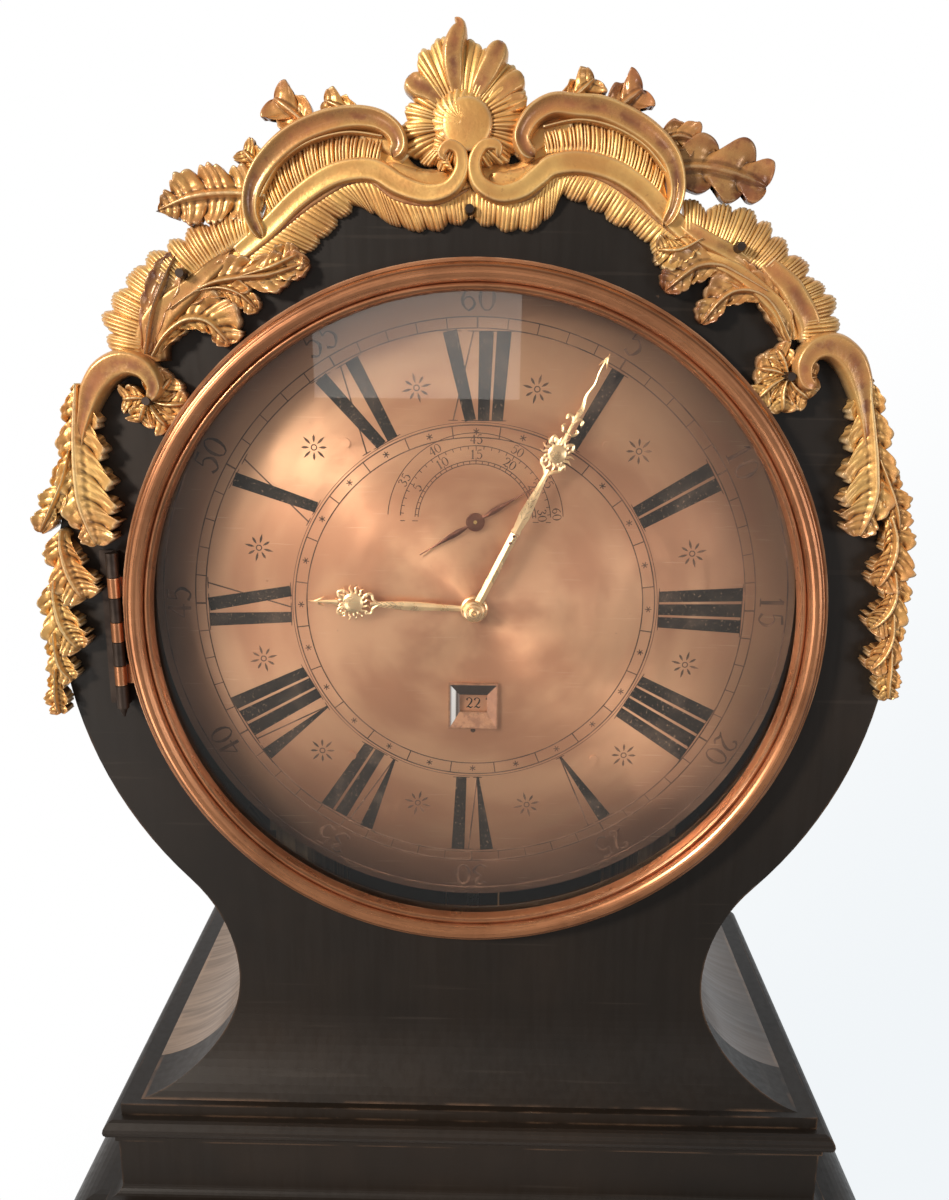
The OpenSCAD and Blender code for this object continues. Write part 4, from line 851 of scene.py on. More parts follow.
hourLook = {
    "angle": 272.2, "up": 0, "thick": 0.0010, "body": "hour",
    "slot": "hand_gold",
    "strips": [
        ([(2, 0), (20, 0), (34, 0), (44, 0), (55, 0)], [2.6, 3.0, 3.6, 4.6, 4.4, 3.4, 2.0], 0.3),
        ([(72, 0), (76, 0), (88, 0)], [3.0, 1.8, 1.4, 1.2, 0.3], 0.3),
    ],
    "scrolls": [
        ([(51, 0.5), (53.5, 2.4), (54.5, 5.0), (57, 5.2), (57, 3.6)], [1.0, 1.4, 1.4, 1.3, 1.8]),
        ([(69, 2.0), (71.5, 3.2), (72.2, 5.6), (69.6, 6.4), (69.0, 5.0)],
         [1.0, 1.3, 1.4, 1.3, 1.8]),
        ([(84.5, 0.1), (81.8, 1.3), (79.4, 2.7)], [0.9, 0.8, 0.3]),
    ],
    "sun": (64.3, 5.4, 9.6), "dots": (),
    "chevrons": [(41 + 2.6 * k, 1.7 - 0.2 * k) for k in range(4)],
    "hub": [(0, 1.9), (6.2, 1.9), (6.9, 1.5), (7.2, 0.9), (7.2, 0.2)],
}
secondsLook = {
    "angle": 58.5, "up": secondsScale["up"], "thick": 0.0005, "body": "escape",
    "slot": "dark_metal", "finish": "seconds_hand",
    "strips": [([(side * 4, 0), (side * 34, 0)],
                [1.0, 2.2, 3.0, 3.0, 2.2, 1.5, 1.1, 0.8, 0.6, 0.4], 0.2)
               for side in (1, -1)],
    "scrolls": [], "sun": (), "dots": (), "chevrons": [],
    "hub": [(0, 1.0), (1.0, 1.0), (1.2, 0.8), (4.6, 0.7), (4.9, 0.4), (4.9, 0.1)],
}


def makeHand(name, look, node):
    work, marks = startPiece(), startPiece()
    angle, thick = look["angle"], look["thick"]
    back = placeOn(node, 1, 1)
    front, level = back - thick, dialZ + look["up"] * mm

    def forge(points, widths, ridge, ends=(0, 0), steps=40):
        path = smoothPath([polar(angle, r, u) for r, u in points], steps + 1)

        def shape(s, t):
            v = 2 * t - 1
            x, z = besides(path, s, v * halfWidth(widths, s, ends))
            return x * mm, front - ridge * (1 - abs(v)) * mm, level + z * mm, 0.0

        bentSheet(work, steps, 4, shape, back)

    def boss(middle, rings):
        # rings: radius, and how far the front is ahead of the hand's back
        x, z = polar(angle, middle)
        radii, heights = zip(*rings)

        def shape(s, t):
            turn, r = 2 * math.pi * s, share(radii, t)
            return ((x + r * math.cos(turn)) * mm, back - share(heights, t) * mm,
                    level + (z + r * math.sin(turn)) * mm, 0.0)

        bentSheet(work, 40, len(rings) - 1, shape, back, joined=True)

    for strip in look["strips"]:
        forge(*strip)
    for points, widths in look["scrolls"]:
        for side in (1, -1):
            forge([(r, side * u) for r, u in points], widths, 0.25, (0, 0.15), 24)
    if look["sun"]:
        middle, disc, reach = look["sun"]
        ray = ((disc * 0.7, 0), (disc * 1.15, 0.45), (disc * 1.45, -0.45), (reach, 0.35))
        for k in range(16):
            dz, dx = polar(22.5 * k + 11.25, 1)
            line = [(middle + dx * r - dz * sway, dz * r + dx * sway) for r, sway in ray]
            forge(line, [1.5, 1.35, 0.95, 0.25], 0.2, steps=14)
        boss(middle, [(disc * r, thick / mm + up)
                      for r, up in ((0, 1.1), (0.45, 1.0), (0.8, 0.6), (1, 0.15))] + [(disc, 0.3)])
    boss(0, look["hub"])
    for spot in look["dots"]:
        inlay(marks, arcAt(*polar(angle, spot), 0.45), 0.9, 0.00006, front - 0.9 * mm)
    for at, spread in look["chevrons"]:
        for side in (spread, -spread):
            line = [polar(angle, at + r, side * u) for r, u in ((0, 0), (1.2, 0.5), (3.0, 1))]
            inlay(marks, line, 0.14, 0.00008, front - 0.25 * mm)
    if look["chevrons"]:
        endPiece(marks, name + "Engraving", look["body"], "hand_gold", "engraved")
    else:
        marks.free()
    endPiece(work, name, look["body"], look["slot"], look.get("finish"), node=node)


makeHand("minuteHandGilt", minuteLook, "minute_hand")
makeHand("hourHandGilt", hourLook, "hour_hand")
makeHand("secondsHandThin", secondsLook, "seconds_hand")
print("hands made")


# Carved giltwood, in millimetres across and up from the middle of the round door
def rise(height):
    return boardY - height * mm


def carve(work, steps, rows, shape, joined=False):
    # shape(s, t) gives across, up, height off the board and how far the gold is worn
    def placed(s, t):
        x, z, height, worn = shape(s, t)
        return x * mm, rise(max(height, 0.5)), doorZ + z * mm, worn

    bentSheet(work, steps, rows, placed, boardY + 0.0003, joined)


def flutes(value, sharp):
    # round ridges with sharp cuts between them
    return abs(math.sin(math.pi * value)) ** sharp


def gouges(value):
    # hollow cuts with sharp ridges between them
    return 1 - abs(math.sin(math.pi * value))


def handCut(value, seed):
    # the unevenness of work done by eye
    return (0.5 * math.sin(1.7 * value + seed) + 0.3 * math.sin(3.1 * value + 2 * seed)
            + 0.2 * math.sin(5.3 * value + 3 * seed))


def carveRoll(work, points, widths, heights, worn, rim=None, steps=56, rows=14, tilt=0.0,
              hollow=0.0, ends=(0.0, 0.0)):
    # a rounded or hollowed strip along a line, such as a stem, a bar or a scroll
    path = smoothPath(points, steps + 1)
    rim = worn if rim is None else rim

    def shape(s, t):
        v = 2 * t - 1
        close = endRound(s, ends[0]) * endRound(1 - s, ends[1])
        side = v * halfWidth(widths, s, ends)
        dome = math.sqrt(max(1 - v * v, 0.0))
        middle = max(1 - (v / 0.68) ** 2, 0.0)
        height = share(heights, s) * (0.75 + 0.25 * close) * (0.55 + 0.45 * dome)
        return (*besides(path, s, side), height + tilt * side - hollow * middle,
                rim + (worn - rim) * middle)

    carve(work, steps, rows, shape)


def carveBand(work, inner, outer, count, scallops, low, high, scallopDepth, worn=0.1, edge=0.1,
              deep=0.9, lean=0.0, swell=1.4, seed=1.0):
    # fine flutes run from an inner line to an outer line with a wavy edge
    steps = max(count * 6, 40)
    first, second = smoothPath(inner, steps + 1), smoothPath(outer, steps + 1)

    def shape(s, t):
        (ax, az), _ = along(first, s)
        (bx, bz), _ = along(second, s + lean * t)
        reach = math.hypot(bx - ax, bz - az) or 1.0
        bend = handCut(s * scallops * 0.9, seed)
        wave = flutes(s * scallops + 0.16 * bend, 0.5)
        ridge = flutes(s * count + 0.33 * handCut(s * count * 0.5, seed + 2), 0.5)
        uneven = 0.7 * handCut(s * count * 0.8, seed)
        amount = t * (1 - (scallopDepth * (1 - wave) + 0.5 * uneven + 0.6 * (1 - ridge))
                      / reach * t * t)
        x, z = ax + (bx - ax) * amount, az + (bz - az) * amount
        height = low + (high - low) * (1 - t) ** 0.8 + swell * math.sin(math.pi * t) ** 0.7
        height += 0.9 * bend * t
        height -= deep * (1 + 0.4 * uneven) * (1 - ridge) * min(1, 5 * t) + 1.2 * (1 - wave) * t
        return x, z, height, (worn + (edge - worn) * t ** 2) * (0.4 + 0.6 * ridge)

    carve(work, steps, 10, shape)


def carveLeaf(work, points, widths, lobes, height, worn=0.25, curl=1.0, steps=84, rows=26,
              lean=0.75, start=0.4, base=2.0, cut=0.5, fine=3, point=0.6, seed=1.0):
    # a leaf with a midrib; widths and lobes are given for its left and its right side
    path = smoothPath(points, steps + 1)
    small, tip = min(max(widths) / 13, 1), 0.75

    def shape(s, t):
        v = 2 * t - 1
        side = abs(v)
        half, count = (widths[0], lobes[0]) if v > 0 else (widths[1], lobes[1])
        close = max(1 - max((s - 0.5) / 0.5, 0) ** 2.0, 0.0) ** point
        half *= (start + (1 - start) * math.sin(math.pi * min(s * 1.5, 1) / 2)) * close
        beat = s * count * 0.98 + 0.12 * handCut(s * count, seed)
        lobe = flutes(beat, 0.6)
        finger = gouges(beat * fine + 0.25 * handCut(s * 7, seed + 1))
        reach = half * side * (1 - (cut * (1 - lobe) + 0.14 * finger) * side ** 1.5)
        ahead = lean * half * side ** 1.4 * (1 - 0.25 * s)
        x, z = besides(path, s, math.copysign(reach, v))
        dx, dz = along(path, s)[1]
        dish = 1 - 0.35 * math.sin(math.pi * side)
        body = height * (0.35 + 0.65 * close) * (0.62 + 0.38 * math.sqrt(max(1 - v * v, 0))) * dish
        crease = 2.6 * small * (1 - lobe) ** 1.3 * min(side * 1.6, 1)
        vein = 0.9 * small * (0.6 - finger) * min(side * 3, 1) + 1.6 * small * lobe * side ** 3
        rib = 1.2 * math.exp(-(v / 0.09) ** 2) - 0.9 * math.exp(-((side - 0.2) / 0.08) ** 2)
        up = base + body - crease + vein + rib * close + curl * s * s
        wear = worn + tip * max(side - 0.55, 0) * lobe + 0.5 * tip * s ** 4
        return x + dx * ahead, z + dz * ahead, up, min(wear, 1)

    carve(work, steps, rows, shape)


def carveDome(work, centre, radius, height, base, worn, cuts=0, turnBy=0.0):
    # a round boss, fluted round its edge if cuts are given
    def shape(s, t):
        angle = 2 * math.pi * s
        ridge = flutes(s * cuts + turnBy * t, 0.6) if cuts else 1.0
        r = t * radius * (1 - 0.1 * (1 - ridge) * t)
        up = base + height * math.sqrt(max(1 - t * t, 0.0)) - 1.3 * (1 - ridge) * t
        return (centre[0] + r * math.cos(angle), centre[1] + r * math.sin(angle), up,
                worn * (1 - t))

    carve(work, max(cuts * 5, 32), 10, shape, joined=True)


shell = {
    "foot": (-8.0, 236.0), "footRadius": 6.0,
    # edge of the fan: degrees anticlockwise from the right, and reach
    "edge": [(-62, 19), (-40, 25), (-14, 29), (4, 30), (22, 32), (46, 34.5), (70, 36.5), (84, 36),
             (106, 38), (120, 37), (134, 31), (150, 27), (168, 27), (186, 28.5), (206, 27),
             (226, 23), (246, 21), (262, 17)],
    # smooth fingers on it: points of the middle line, widths, height and wear
    "fingers": [
        ([(-9.5, 247), (-11.5, 257), (-11.8, 268), (-9, 277), (-11.5, 280.5)],
         [5, 8, 10.5, 10.5, 8.5, 2], [11, 13, 14, 13.5, 12], 1.0),
        ([(-3.5, 246), (1, 254), (5.5, 262), (10, 271)], [5, 9, 11, 11, 9],
         [11, 13, 13.5, 12.5], 0.95),
        ([(-15, 244.5), (-22, 250), (-28, 253), (-32, 257)], [4, 9, 11, 10.5], [11, 12.5, 12, 11],
         1.0),
        ([(3, 243.5), (9, 250), (15, 254.5), (20, 257)], [4, 8, 10, 9.5], [10.5, 11.5, 11.5, 10],
         0.75),
        ([(4, 240), (11, 244), (17, 246.5), (21.5, 247.5)], [4, 8, 9.5, 9], [10, 11, 11, 9.5],
         0.6),
    ],
    # inner and outer line of the tongue under the fan
    "tongue": ([(-14, 230), (-14.5, 225), (-13.5, 221), (-11.5, 217)],
               [(-20, 234), (-22.5, 227), (-19, 220.5), (-13, 217)]),
}


def makeShell():
    work = startPiece()
    path = smoothPath(shell["edge"], 240)

    def shape(s, t):
        angle, reach = along(path, s)[0]
        bend = handCut(angle / 16, 0.7)
        ridge = flutes(angle / 6.1 + 0.5 * bend, 0.55)
        wave = flutes(angle / 20 + 0.3, 0.6)
        radius = shell["footRadius"] + (reach - shell["footRadius"]) * t
        radius -= ((1 - wave) * 3.2 + 0.8 * (1 - ridge) + 0.7 * bend) * t ** 3
        turn = math.radians(angle)
        x = shell["foot"][0] + radius * math.cos(turn)
        z = shell["foot"][1] + radius * math.sin(turn)
        height = 8.0 + 3.4 * math.sin(math.pi * min(t * 0.85, 1)) - 2.0 * t ** 2 + 1.5 * bend * t
        height -= (1 - ridge) * 1.3 * min(4 * t, 1) + 2.0 * (1 - wave) * t
        return x, z, height, 0.5 * max(t - 0.75, 0) * ridge

    carve(work, 320, 20, shape)
    for points, widths, heights, worn in shell["fingers"]:
        carveRoll(work, points, widths, heights, worn, rim=worn * 0.45, hollow=1.6, steps=36,
                  ends=(0.25, 0.16))
    carveDome(work, (-8.0, 238.0), 14.5, 5.0, 8.0, 0.1, cuts=22, turnBy=1.6)
    carveDome(work, (-5.5, 236.5), 11.5, 1.6, 11.4, 0.35)
    carveBand(work, *shell["tongue"], 9, 3, 8.5, 10.5, scallopDepth=1.2)
    endCarving(work, "shellCarving", "crest_shell")


crestLeft = {
    "bar": [(-101, 187), (-105.5, 198), (-104, 209), (-97, 220), (-85.5, 230), (-72.5, 236),
            (-58.5, 239), (-46.5, 238), (-39, 233.5), (-36.5, 227.5), (-39.5, 222.5)],
    "band": [(-113, 180.5), (-98, 192.5), (-84, 205), (-70, 214), (-58, 217.5), (-47, 217),
             (-36, 211), (-24, 207.5), (-13.5, 209.5), (-8, 217), (-8.5, 225), (-13.5, 227.5),
             (-17, 224), (-14.5, 221)],
    "wide": [(-50, 216.5), (-40, 215.5), (-30, 211.5), (-21, 212), (-14, 216)],
    "fringe": [(-92, 174), (-84, 179), (-75, 185), (-66, 194), (-56, 201.5), (-47, 197),
               (-36, 192.5), (-23, 191), (-11, 194), (-2.5, 196)],
    "lip": [(-110, 178), (-97, 188), (-84, 198), (-75.5, 204), (-61, 212), (-50, 213),
            (-39.5, 206), (-26.5, 203), (-15.5, 204.5), (-3.5, 210.5)],
    "reedOut": [(-101, 205), (-92, 219), (-78, 228.5), (-60, 233), (-44, 231.5)],
    "reedIn": [(-96, 196), (-83, 208), (-70, 217), (-58, 220.5), (-46, 220.5)],
    "back": [(-100, 198), (-94, 215), (-78, 229), (-58, 234), (-38, 228), (-26, 219), (-10, 222)],
    "edging": [(-99, 214), (-88, 228), (-72, 237.5), (-56, 241.5), (-46, 240.5)],
    "join": [(-33, 223), (-41, 230), (-54, 234)],
    "tilt": 0.3,
    # midrib, widths, lobes and what else differs
    "leaves": [
        ([(-99, 206), (-116, 207), (-134, 205), (-151, 199)], (14, 14), (4, 4),
         {"cut": 0.32, "lean": 0.35, "point": 1.25, "worn": 0.35, "start": 0.9}),
        ([(-99, 216), (-104, 221), (-109, 226)], (7, 8), (2, 2), {"cut": 0.35}),
        ([(-74, 232), (-83, 240), (-94, 248)], (12, 11), (2, 2),
         {"cut": 0.4, "worn": 0.4, "fine": 1}),
        ([(-52, 238), (-62, 243), (-71, 247)], (7, 8), (2, 2), {"cut": 0.4, "fine": 2}),
    ],
}
crestRight = {
    "bar": [(86, 194), (90, 202), (91, 212), (87, 223.5), (77.5, 233), (66, 239.5), (55, 243.5),
            (44, 244.5), (33, 245), (24, 240), (19.5, 232), (21.5, 226), (25.5, 223)],
    "band": [(106, 184), (97, 191.5), (86, 201), (76.5, 210), (62.5, 218), (47, 221.5), (34, 220),
             (27, 215), (19.5, 209.5), (9.5, 207.5), (0.5, 212), (-2, 220.5), (2, 227.5),
             (8.5, 227.5), (9, 222.5)],
    "wide": [(40, 221), (31, 219), (23, 213.5), (13, 212), (5, 216)],
    "fringe": [(88, 178), (81, 184), (74, 191), (65, 194.5), (56, 200), (45.5, 205), (38.5, 206.5),
               (34, 198.5), (25.5, 192.5), (13.5, 191.5), (-4, 196)],
    "lip": [(97, 187), (83.5, 197), (72, 206), (58.5, 214), (45, 218), (34, 216), (25.5, 207.5),
            (13, 204.5), (-3.5, 209.5)],
    "reedOut": [(87, 216), (76, 228), (61, 236), (45, 239), (29, 236)],
    "reedIn": [(83, 207), (71, 217), (57.5, 223.5), (45, 226), (31, 225)],
    "back": [(86, 204), (85, 218), (72, 231), (55, 238), (32, 238), (18, 222), (2, 224)],
    "edging": [(93, 216), (84, 231), (72, 240), (58, 246.5), (44, 249), (33, 248.5)],
    "join": [(19, 223), (27, 232), (42, 239)],
    "tilt": -0.3,
    "leaves": [
        ([(86, 219), (102, 220), (118, 217), (133, 212)], (16, 13), (3, 3),
         {"cut": 0.5, "lean": 0.6, "worn": 0.85, "start": 0.8, "point": 0.55, "fine": 1}),
        ([(80, 229), (90, 233), (99, 231)], (9, 9), (2, 2), {"cut": 0.4, "worn": 0.7, "fine": 1}),
        ([(56, 238), (65, 246), (74, 253)], (12, 11), (2, 2),
         {"cut": 0.45, "worn": 0.8, "fine": 1}),
        ([(34, 242), (43, 249), (52, 257)], (9, 11), (2, 3), {"cut": 0.35, "fine": 2}),
    ],
}


def makeCrestScroll(name, side, node):
    work = startPiece()
    carveBand(work, side["lip"], side["back"], 6, 3, 3.5, 4.5, scallopDepth=0.5, deep=0.2)
    for points, widths, lobes, more in side["leaves"]:
        carveLeaf(work, points, widths, lobes, 5.5, **more)
    carveBand(work, side["bar"][1:-3], side["edging"], 20, 6, 8.0, 9.0, worn=0.3, edge=0.5,
              scallopDepth=1.2, deep=0.6)
    carveBand(work, side["lip"], side["fringe"], 52, 9, 2.6, 5.4, scallopDepth=3.0, edge=0.35)
    carveRoll(work, side["lip"], [2.6, 3.6, 2.6], [6.0, 6.6, 6.0], 1.0, steps=90, rows=6,
              ends=(0.03, 0.03))
    carveRoll(work, side["wide"], [6, 12, 14, 13, 6], [7, 8, 8, 8, 7.5], 0.3, hollow=1.2,
              steps=50, ends=(0.1, 0.1))
    carveRoll(work, side["band"], [8.5, 9.5, 10, 10.5, 11, 11, 10.5, 9.5, 8, 6.5, 5],
              [8, 8.5, 9, 9.5, 10, 10.5, 11, 12, 13.5, 14.5, 15], 0.3, rim=0.05,
              hollow=1.8, steps=110, ends=(0.0, 0.05))
    carveBand(work, side["reedIn"], side["reedOut"], 34, 17, 5.5, 7.0, deep=1.9,
              scallopDepth=1.2, seed=2.0, lean=0.02)
    carveRoll(work, side["reedOut"], [1.8, 2.2, 1.8], [9.5, 10, 9.5], 0.2, steps=60, rows=6)
    carveRoll(work, side["join"], [9, 12, 9], [6, 6.5, 6], 0.2, steps=16, rows=6)
    carveRoll(work, side["bar"], [6, 7.5, 9, 10.5, 11, 11, 11, 10.5, 10, 9, 8],
              [11, 12.5, 13.5, 14, 14, 14, 14, 14, 14.5, 15, 15.5], 1.0, rim=0.35, hollow=3.2,
              steps=110, rows=22, ends=(0.05, 0.04), tilt=side["tilt"])
    endCarving(work, name, node)


# the dark board that shows through the openings of the crest, in metres
backing = {"radius": 0.033, "stretch": 1.06, "across": -0.008, "up": 0.205, "behind": 0.0006,
           "thick": 0.006}


def makeCrestBacking():
    work = bmesh.new()
    made = bmesh.ops.create_circle(work, cap_ends=True, segments=48, radius=backing["radius"])
    for v in made["verts"]:
        v.co = (v.co.x * backing["stretch"] + backing["across"], boardY + backing["behind"],
                doorZ + backing["up"] + v.co.y)
    for v in pulled(work, list(work.faces), keep=False):
        v.co.y += backing["thick"]
    endPiece(work, "crestBacking", "hood", "ebonised_wood")


makeShell()
makeCrestScroll("scrollCarvingLeft", crestLeft, "crest_scroll_left")
makeCrestScroll("scrollCarvingRight", crestRight, "crest_scroll_right")
makeCrestBacking()
print("crest carved")


shoulderLeft = {
    "bandIn": [(-104, 189), (-118, 181), (-133, 170), (-146, 158), (-157, 146), (-163, 131)],
    "bandOut": [(-104, 205), (-121, 199), (-135, 193), (-148, 185), (-160, 178), (-168.5, 169),
                (-175, 161), (-181, 152), (-180, 143), (-178, 132)],
    "under": [(-100, 180), (-116, 172), (-132, 162), (-145, 151), (-150, 140), (-151, 131)],
    "stems": [([(-158, 130), (-157, 141), (-151.5, 151.5), (-143.5, 158.5), (-135, 165),
                (-127, 172), (-120.5, 178), (-116, 185)], [17, 18, 16, 13, 10, 8, 5],
               0.75)],
    "leaves": [([(-159, 134), (-155, 152), (-149, 166), (-142, 180)], (8, 9), (1, 1),
                {"cut": 0.05, "fine": 6, "worn": 0.8, "lean": 0.9, "base": 3.0}),
               ([(-146, 155), (-128, 166), (-112, 169.5), (-98, 171), (-80, 177)], (12, 9),
                (4, 4), {"worn": 0.5, "lean": 0.9}),
               ([(-112, 170), (-96, 175), (-84, 181)], (9, 9), (3, 3), {"cut": 0.3}),
               ([(-134, 163), (-122, 165), (-112, 162), (-105, 155)], (6, 8), (3, 3), {}),
               ([(-156, 133), (-149, 143), (-138.5, 150), (-128, 149), (-119, 139)], (15, 8),
                (5, 3), {"lean": 0.9})],
}
shoulderRight = {
    "bandIn": [(96, 190), (110, 186), (126, 179), (140, 169), (150, 158), (155, 144)],
    "bandOut": [(95, 208), (107, 205), (119, 205), (130.5, 201), (138, 195), (147, 186),
                (155, 180), (161, 171.5), (168, 167), (172, 158), (173.5, 150), (173, 144)],
    "under": [(84, 188), (98, 180), (116, 174), (130, 166), (140, 155), (145, 144)],
    "stems": [([(160, 143), (157.5, 152.5), (152.5, 160.5), (146, 169), (138, 176), (130, 184)],
               [11, 12, 12, 10, 7], 1.0),
              ([(149, 143), (147, 151), (142.5, 158), (136, 164), (128.5, 170), (121, 175),
                (112, 179), (101, 184)], [7, 9, 9, 8, 8, 7, 6], 0.6),
              ([(130, 176), (118, 183), (104, 190), (92, 198)], [6, 8, 8, 6], 0.8)],
    "leaves": [([(136, 166), (121, 174), (112, 177.5), (101.5, 176), (89, 166)], (9, 12),
                (3, 4), {"worn": 0.6, "cut": 0.35}),
               ([(149, 143), (140.5, 158), (132, 165), (122, 166), (114, 161), (107, 151)],
                (8, 11), (3, 4), {"worn": 0.5}),
               ([(104, 189), (94, 184), (84, 184)], (9, 9), (3, 3), {"cut": 0.3})],
}


def makeShoulder(name, side, node):
    work = startPiece()
    carveBand(work, side["bandIn"], side["under"], 8, 4, 3.0, 4.0, deep=0.3, scallopDepth=0.6)
    carveBand(work, side["bandIn"], side["bandOut"], 54, 9, 3.4, 6.4, worn=0.05, edge=0.5,
              deep=1.3, scallopDepth=4.4, swell=2.6)
    for points, widths, lobes, more in side["leaves"]:
        carveLeaf(work, points, widths, lobes, 7.0, **more)
    for points, widths, worn in side["stems"]:
        carveRoll(work, points, widths, [7, 9.5, 10.5, 10, 7], worn, rim=worn * 0.4,
                  hollow=1.5, ends=(0.02, 0.2))
    endCarving(work, name, node)


makeShoulder("shoulderCarvingLeft", shoulderLeft, "shoulder_leaf_left")
makeShoulder("shoulderCarvingRight", shoulderRight, "shoulder_leaf_right")
print("shoulders carved")


pendantLeft = {
    "scroll": [(-158.5, 112), (-155.5, 119), (-160, 127), (-169, 130), (-178.5, 126.5),
               (-186, 118), (-190.5, 107), (-194, 96), (-196, 86)],
    "petals": [(25, 15), (-25, 17), (-75, 15), (-130, 12), (165, 13), (70, 14)],
    "hole": (-159.5, 112.5),
    "side": 1,
    # midrib, width towards the dial and away from it, lobes each side
    "leaves": [([(-194, 120), (-197, 97), (-198, 78), (-197, 60), (-191, 40)], (21, 11), (6, 5)),
               ([(-200, 88), (-205, 72), (-212, 58), (-219, 46)], (6, 9), (3, 3)),
               ([(-208, 48), (-209, 38), (-206, 24), (-200, 12)], (15, 13), (3, 3)),
               ([(-214, 22), (-215, 10), (-212, -4), (-205, -15)], (13, 12), (4, 3)),
               ([(-217, -6), (-217, -16), (-215, -25), (-210, -32)], (9, 8), (3, 3)),
               ([(-218, -26), (-219, -36), (-219, -44), (-218, -51)], (7, 7), (3, 3))],
}
pendantRight = {
    "scroll": [(163, 122), (157.5, 125), (156, 133), (161, 140), (170, 141), (178.5, 135),
               (184, 125), (187.5, 113), (190, 101), (192, 90)],
    "petals": [(150, 14), (200, 17), (250, 16), (300, 15), (345, 14), (100, 14)],
    "hole": (149.5, 127),
    "side": -1,
    "leaves": [([(187, 128), (192, 106), (196, 84), (197, 68), (192, 50)], (19, 11), (6, 5)),
               ([(197, 88), (203, 76), (208, 64), (211, 53)], (6, 9), (3, 3)),
               ([(206, 60), (210, 48), (209, 36), (204, 24)], (11, 13), (3, 3)),
               ([(211, 32), (213, 20), (210, 10), (203, 2)], (11, 11), (4, 3)),
               ([(213, 10), (214, -2), (211, -12), (205, -20)], (10, 9), (3, 3)),
               ([(214, -8), (215, -18), (215, -27), (216, -36)], (8, 7), (3, 3))],
}


def makePendant(name, side, node):
    work = startPiece()
    for n, (points, widths, lobes) in enumerate(reversed(side["leaves"])):
        carveLeaf(work, points, widths[::side["side"]], lobes[::side["side"]], 6.5, curl=2.0,
                  lean=0.7, base=1.6 + 0.3 * n, start=0.5, cut=0.55, seed=n, point=0.5)
    hx, hz = side["hole"]
    bow = 0.02
    for angle, reach in side["petals"]:
        dz, dx = polar(angle, 1)
        line = [(hx + dx * r - dz * bow * r * r, hz + dz * r + dx * bow * r * r)
                for r in (2, reach * 0.5, reach)]
        carveLeaf(work, line, (8, 8), (2, 2), 6.0, start=0.35, steps=40, rows=20, cut=0.4,
                  lean=0.6, seed=angle, fine=2, point=0.5)
    carveRoll(work, side["scroll"], [6, 9, 11.5, 13.5, 14, 12, 8, 5, 2],
              [14, 14, 14, 13.5, 13, 12, 11, 10, 8], 1.0, rim=0.5, hollow=1.8, steps=90, rows=18,
              ends=(0.06, 0.03))
    endCarving(work, name, node)


makePendant("pendantCarvingLeft", pendantLeft, "pendant_left")
makePendant("pendantCarvingRight", pendantRight, "pendant_right")
print("pendants carved")


# dark screws that hold the carvings
screwLook = {
    "head": 0.0026, "top": 0.0020, "depth": 0.006,
    # across, up and height off the board
    "places": [(121, 185, 12), (150, 127, 9), (-139, 171, 11), (-159.5, 112, 9), (-4, 201, 6)],
}


def makeCarvingScrews():
    work = startPiece()
    turnToFront = Matrix.Rotation(math.radians(90), 4, "X")
    for x, z, height in screwLook["places"]:
        made = bmesh.ops.create_cone(work, cap_ends=True, segments=20, depth=screwLook["depth"],
                                     radius1=screwLook["head"], radius2=screwLook["top"])["verts"]
        bmesh.ops.transform(work, matrix=turnToFront, verts=made)
        bmesh.ops.translate(work, verts=made, vec=(x * mm, rise(height), doorZ + z * mm))
    endPiece(work, "carvingScrews", "hood", "dark_metal")


makeCarvingScrews()
print("screws made")


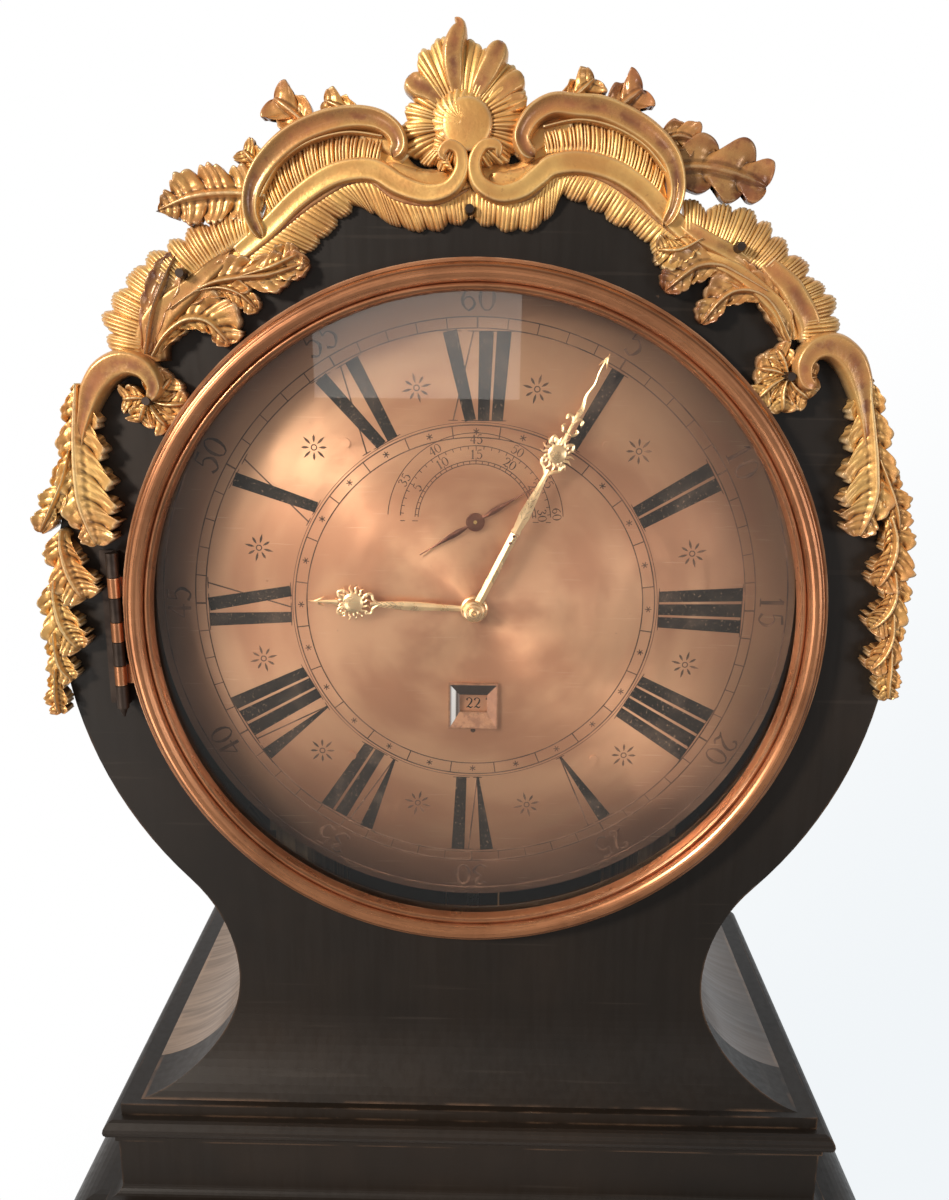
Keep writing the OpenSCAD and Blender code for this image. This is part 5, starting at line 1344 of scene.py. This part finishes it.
# Floor, lamps and what surrounds the object
def makeStage():
    work = bmesh.new()
    bmesh.ops.create_grid(work, x_segments=2, y_segments=2, size=1.3)
    mesh = bpy.data.meshes.new("floor")
    work.to_mesh(mesh)
    work.free()
    openFinish("paleFloor")
    colour = blend(ramp(noise(40.0), 0.3, 0.7), (0.93, 0.94, 0.96), (0.9, 0.91, 0.93))
    away = put("VectorMath", {"operation": "LENGTH"}, _0=page["place"]).outputs["Value"]
    mesh.materials.append(closeFinish(colour, 0.9, Alpha=ramp(away, 0.75, 1.25, 1.0, 0.0)))
    floor = addObject("floor", mesh)


lamps = {
    # place, aim, size, power and colour
    "keyLamp": ((-1.65, -1.6, 2.65), (0, 0, 1.75), (0.36, 0.36), 64, (1.0, 0.93, 0.84)),
    "fillLamp": ((2.0, -1.9, 1.7), (0, 0, 1.6), (0.8, 0.8), 14, (0.95, 0.97, 1.0)),
    "lowLamp": ((-1.7, -2.2, 0.6), (0, 0, 0.8), (1.0, 1.0), 12, (1.0, 0.97, 0.93)),
    # what a window leaves in the glass, over the top of the dial
    "windowLamp": ((-0.16, -1.9, 1.95), (-0.16, 0, 1.95), (0.47, 0.26), 0.45, (1.0, 0.95, 0.9)),
}


def makeLamps():
    for name, (place, aim, size, power, colour) in lamps.items():
        lamp = bpy.data.lights.new(name, "AREA")
        lamp.energy = power
        lamp.shape = "RECTANGLE"
        lamp.size, lamp.size_y = size
        lamp.color = colour
        holder = addObject(name, lamp)
        holder.location = place
        toward = Vector(aim) - Vector(place)
        holder.rotation_euler = toward.to_track_quat("-Z", "Y").to_euler()


def makeWorld():
    # what is seen behind the object is white, a little blue towards the lower right
    world = bpy.data.worlds.new("studio")
    bpy.context.scene.world = world
    world.use_nodes = True
    page["tree"] = world.node_tree
    plain = world.node_tree.nodes["Background"]
    plug(plain, {"Color": (1.0, 0.985, 0.96), "Strength": 0.26})
    way = parted(put("TexCoord").outputs["Generated"])
    low = ramp(maths("SUBTRACT", way["X"], way["Z"]), 0.25, 0.95)
    seen = put("Background", Color=blend(low, (1.0, 1.0, 1.0), (0.88, 0.915, 0.94)),
               Strength=1.0)
    path = put("LightPath").outputs
    bent = maths("MAXIMUM", path["Is Glossy Ray"], path["Is Transmission Ray"])
    behind = times(bent, ramp(way["Y"], -0.1, 0.4))
    mixShaders(maths("MAXIMUM", path["Is Camera Ray"], behind), plain, seen, "World Output")


makeStage()
makeWorld()
makeLamps()
print("stage lit")
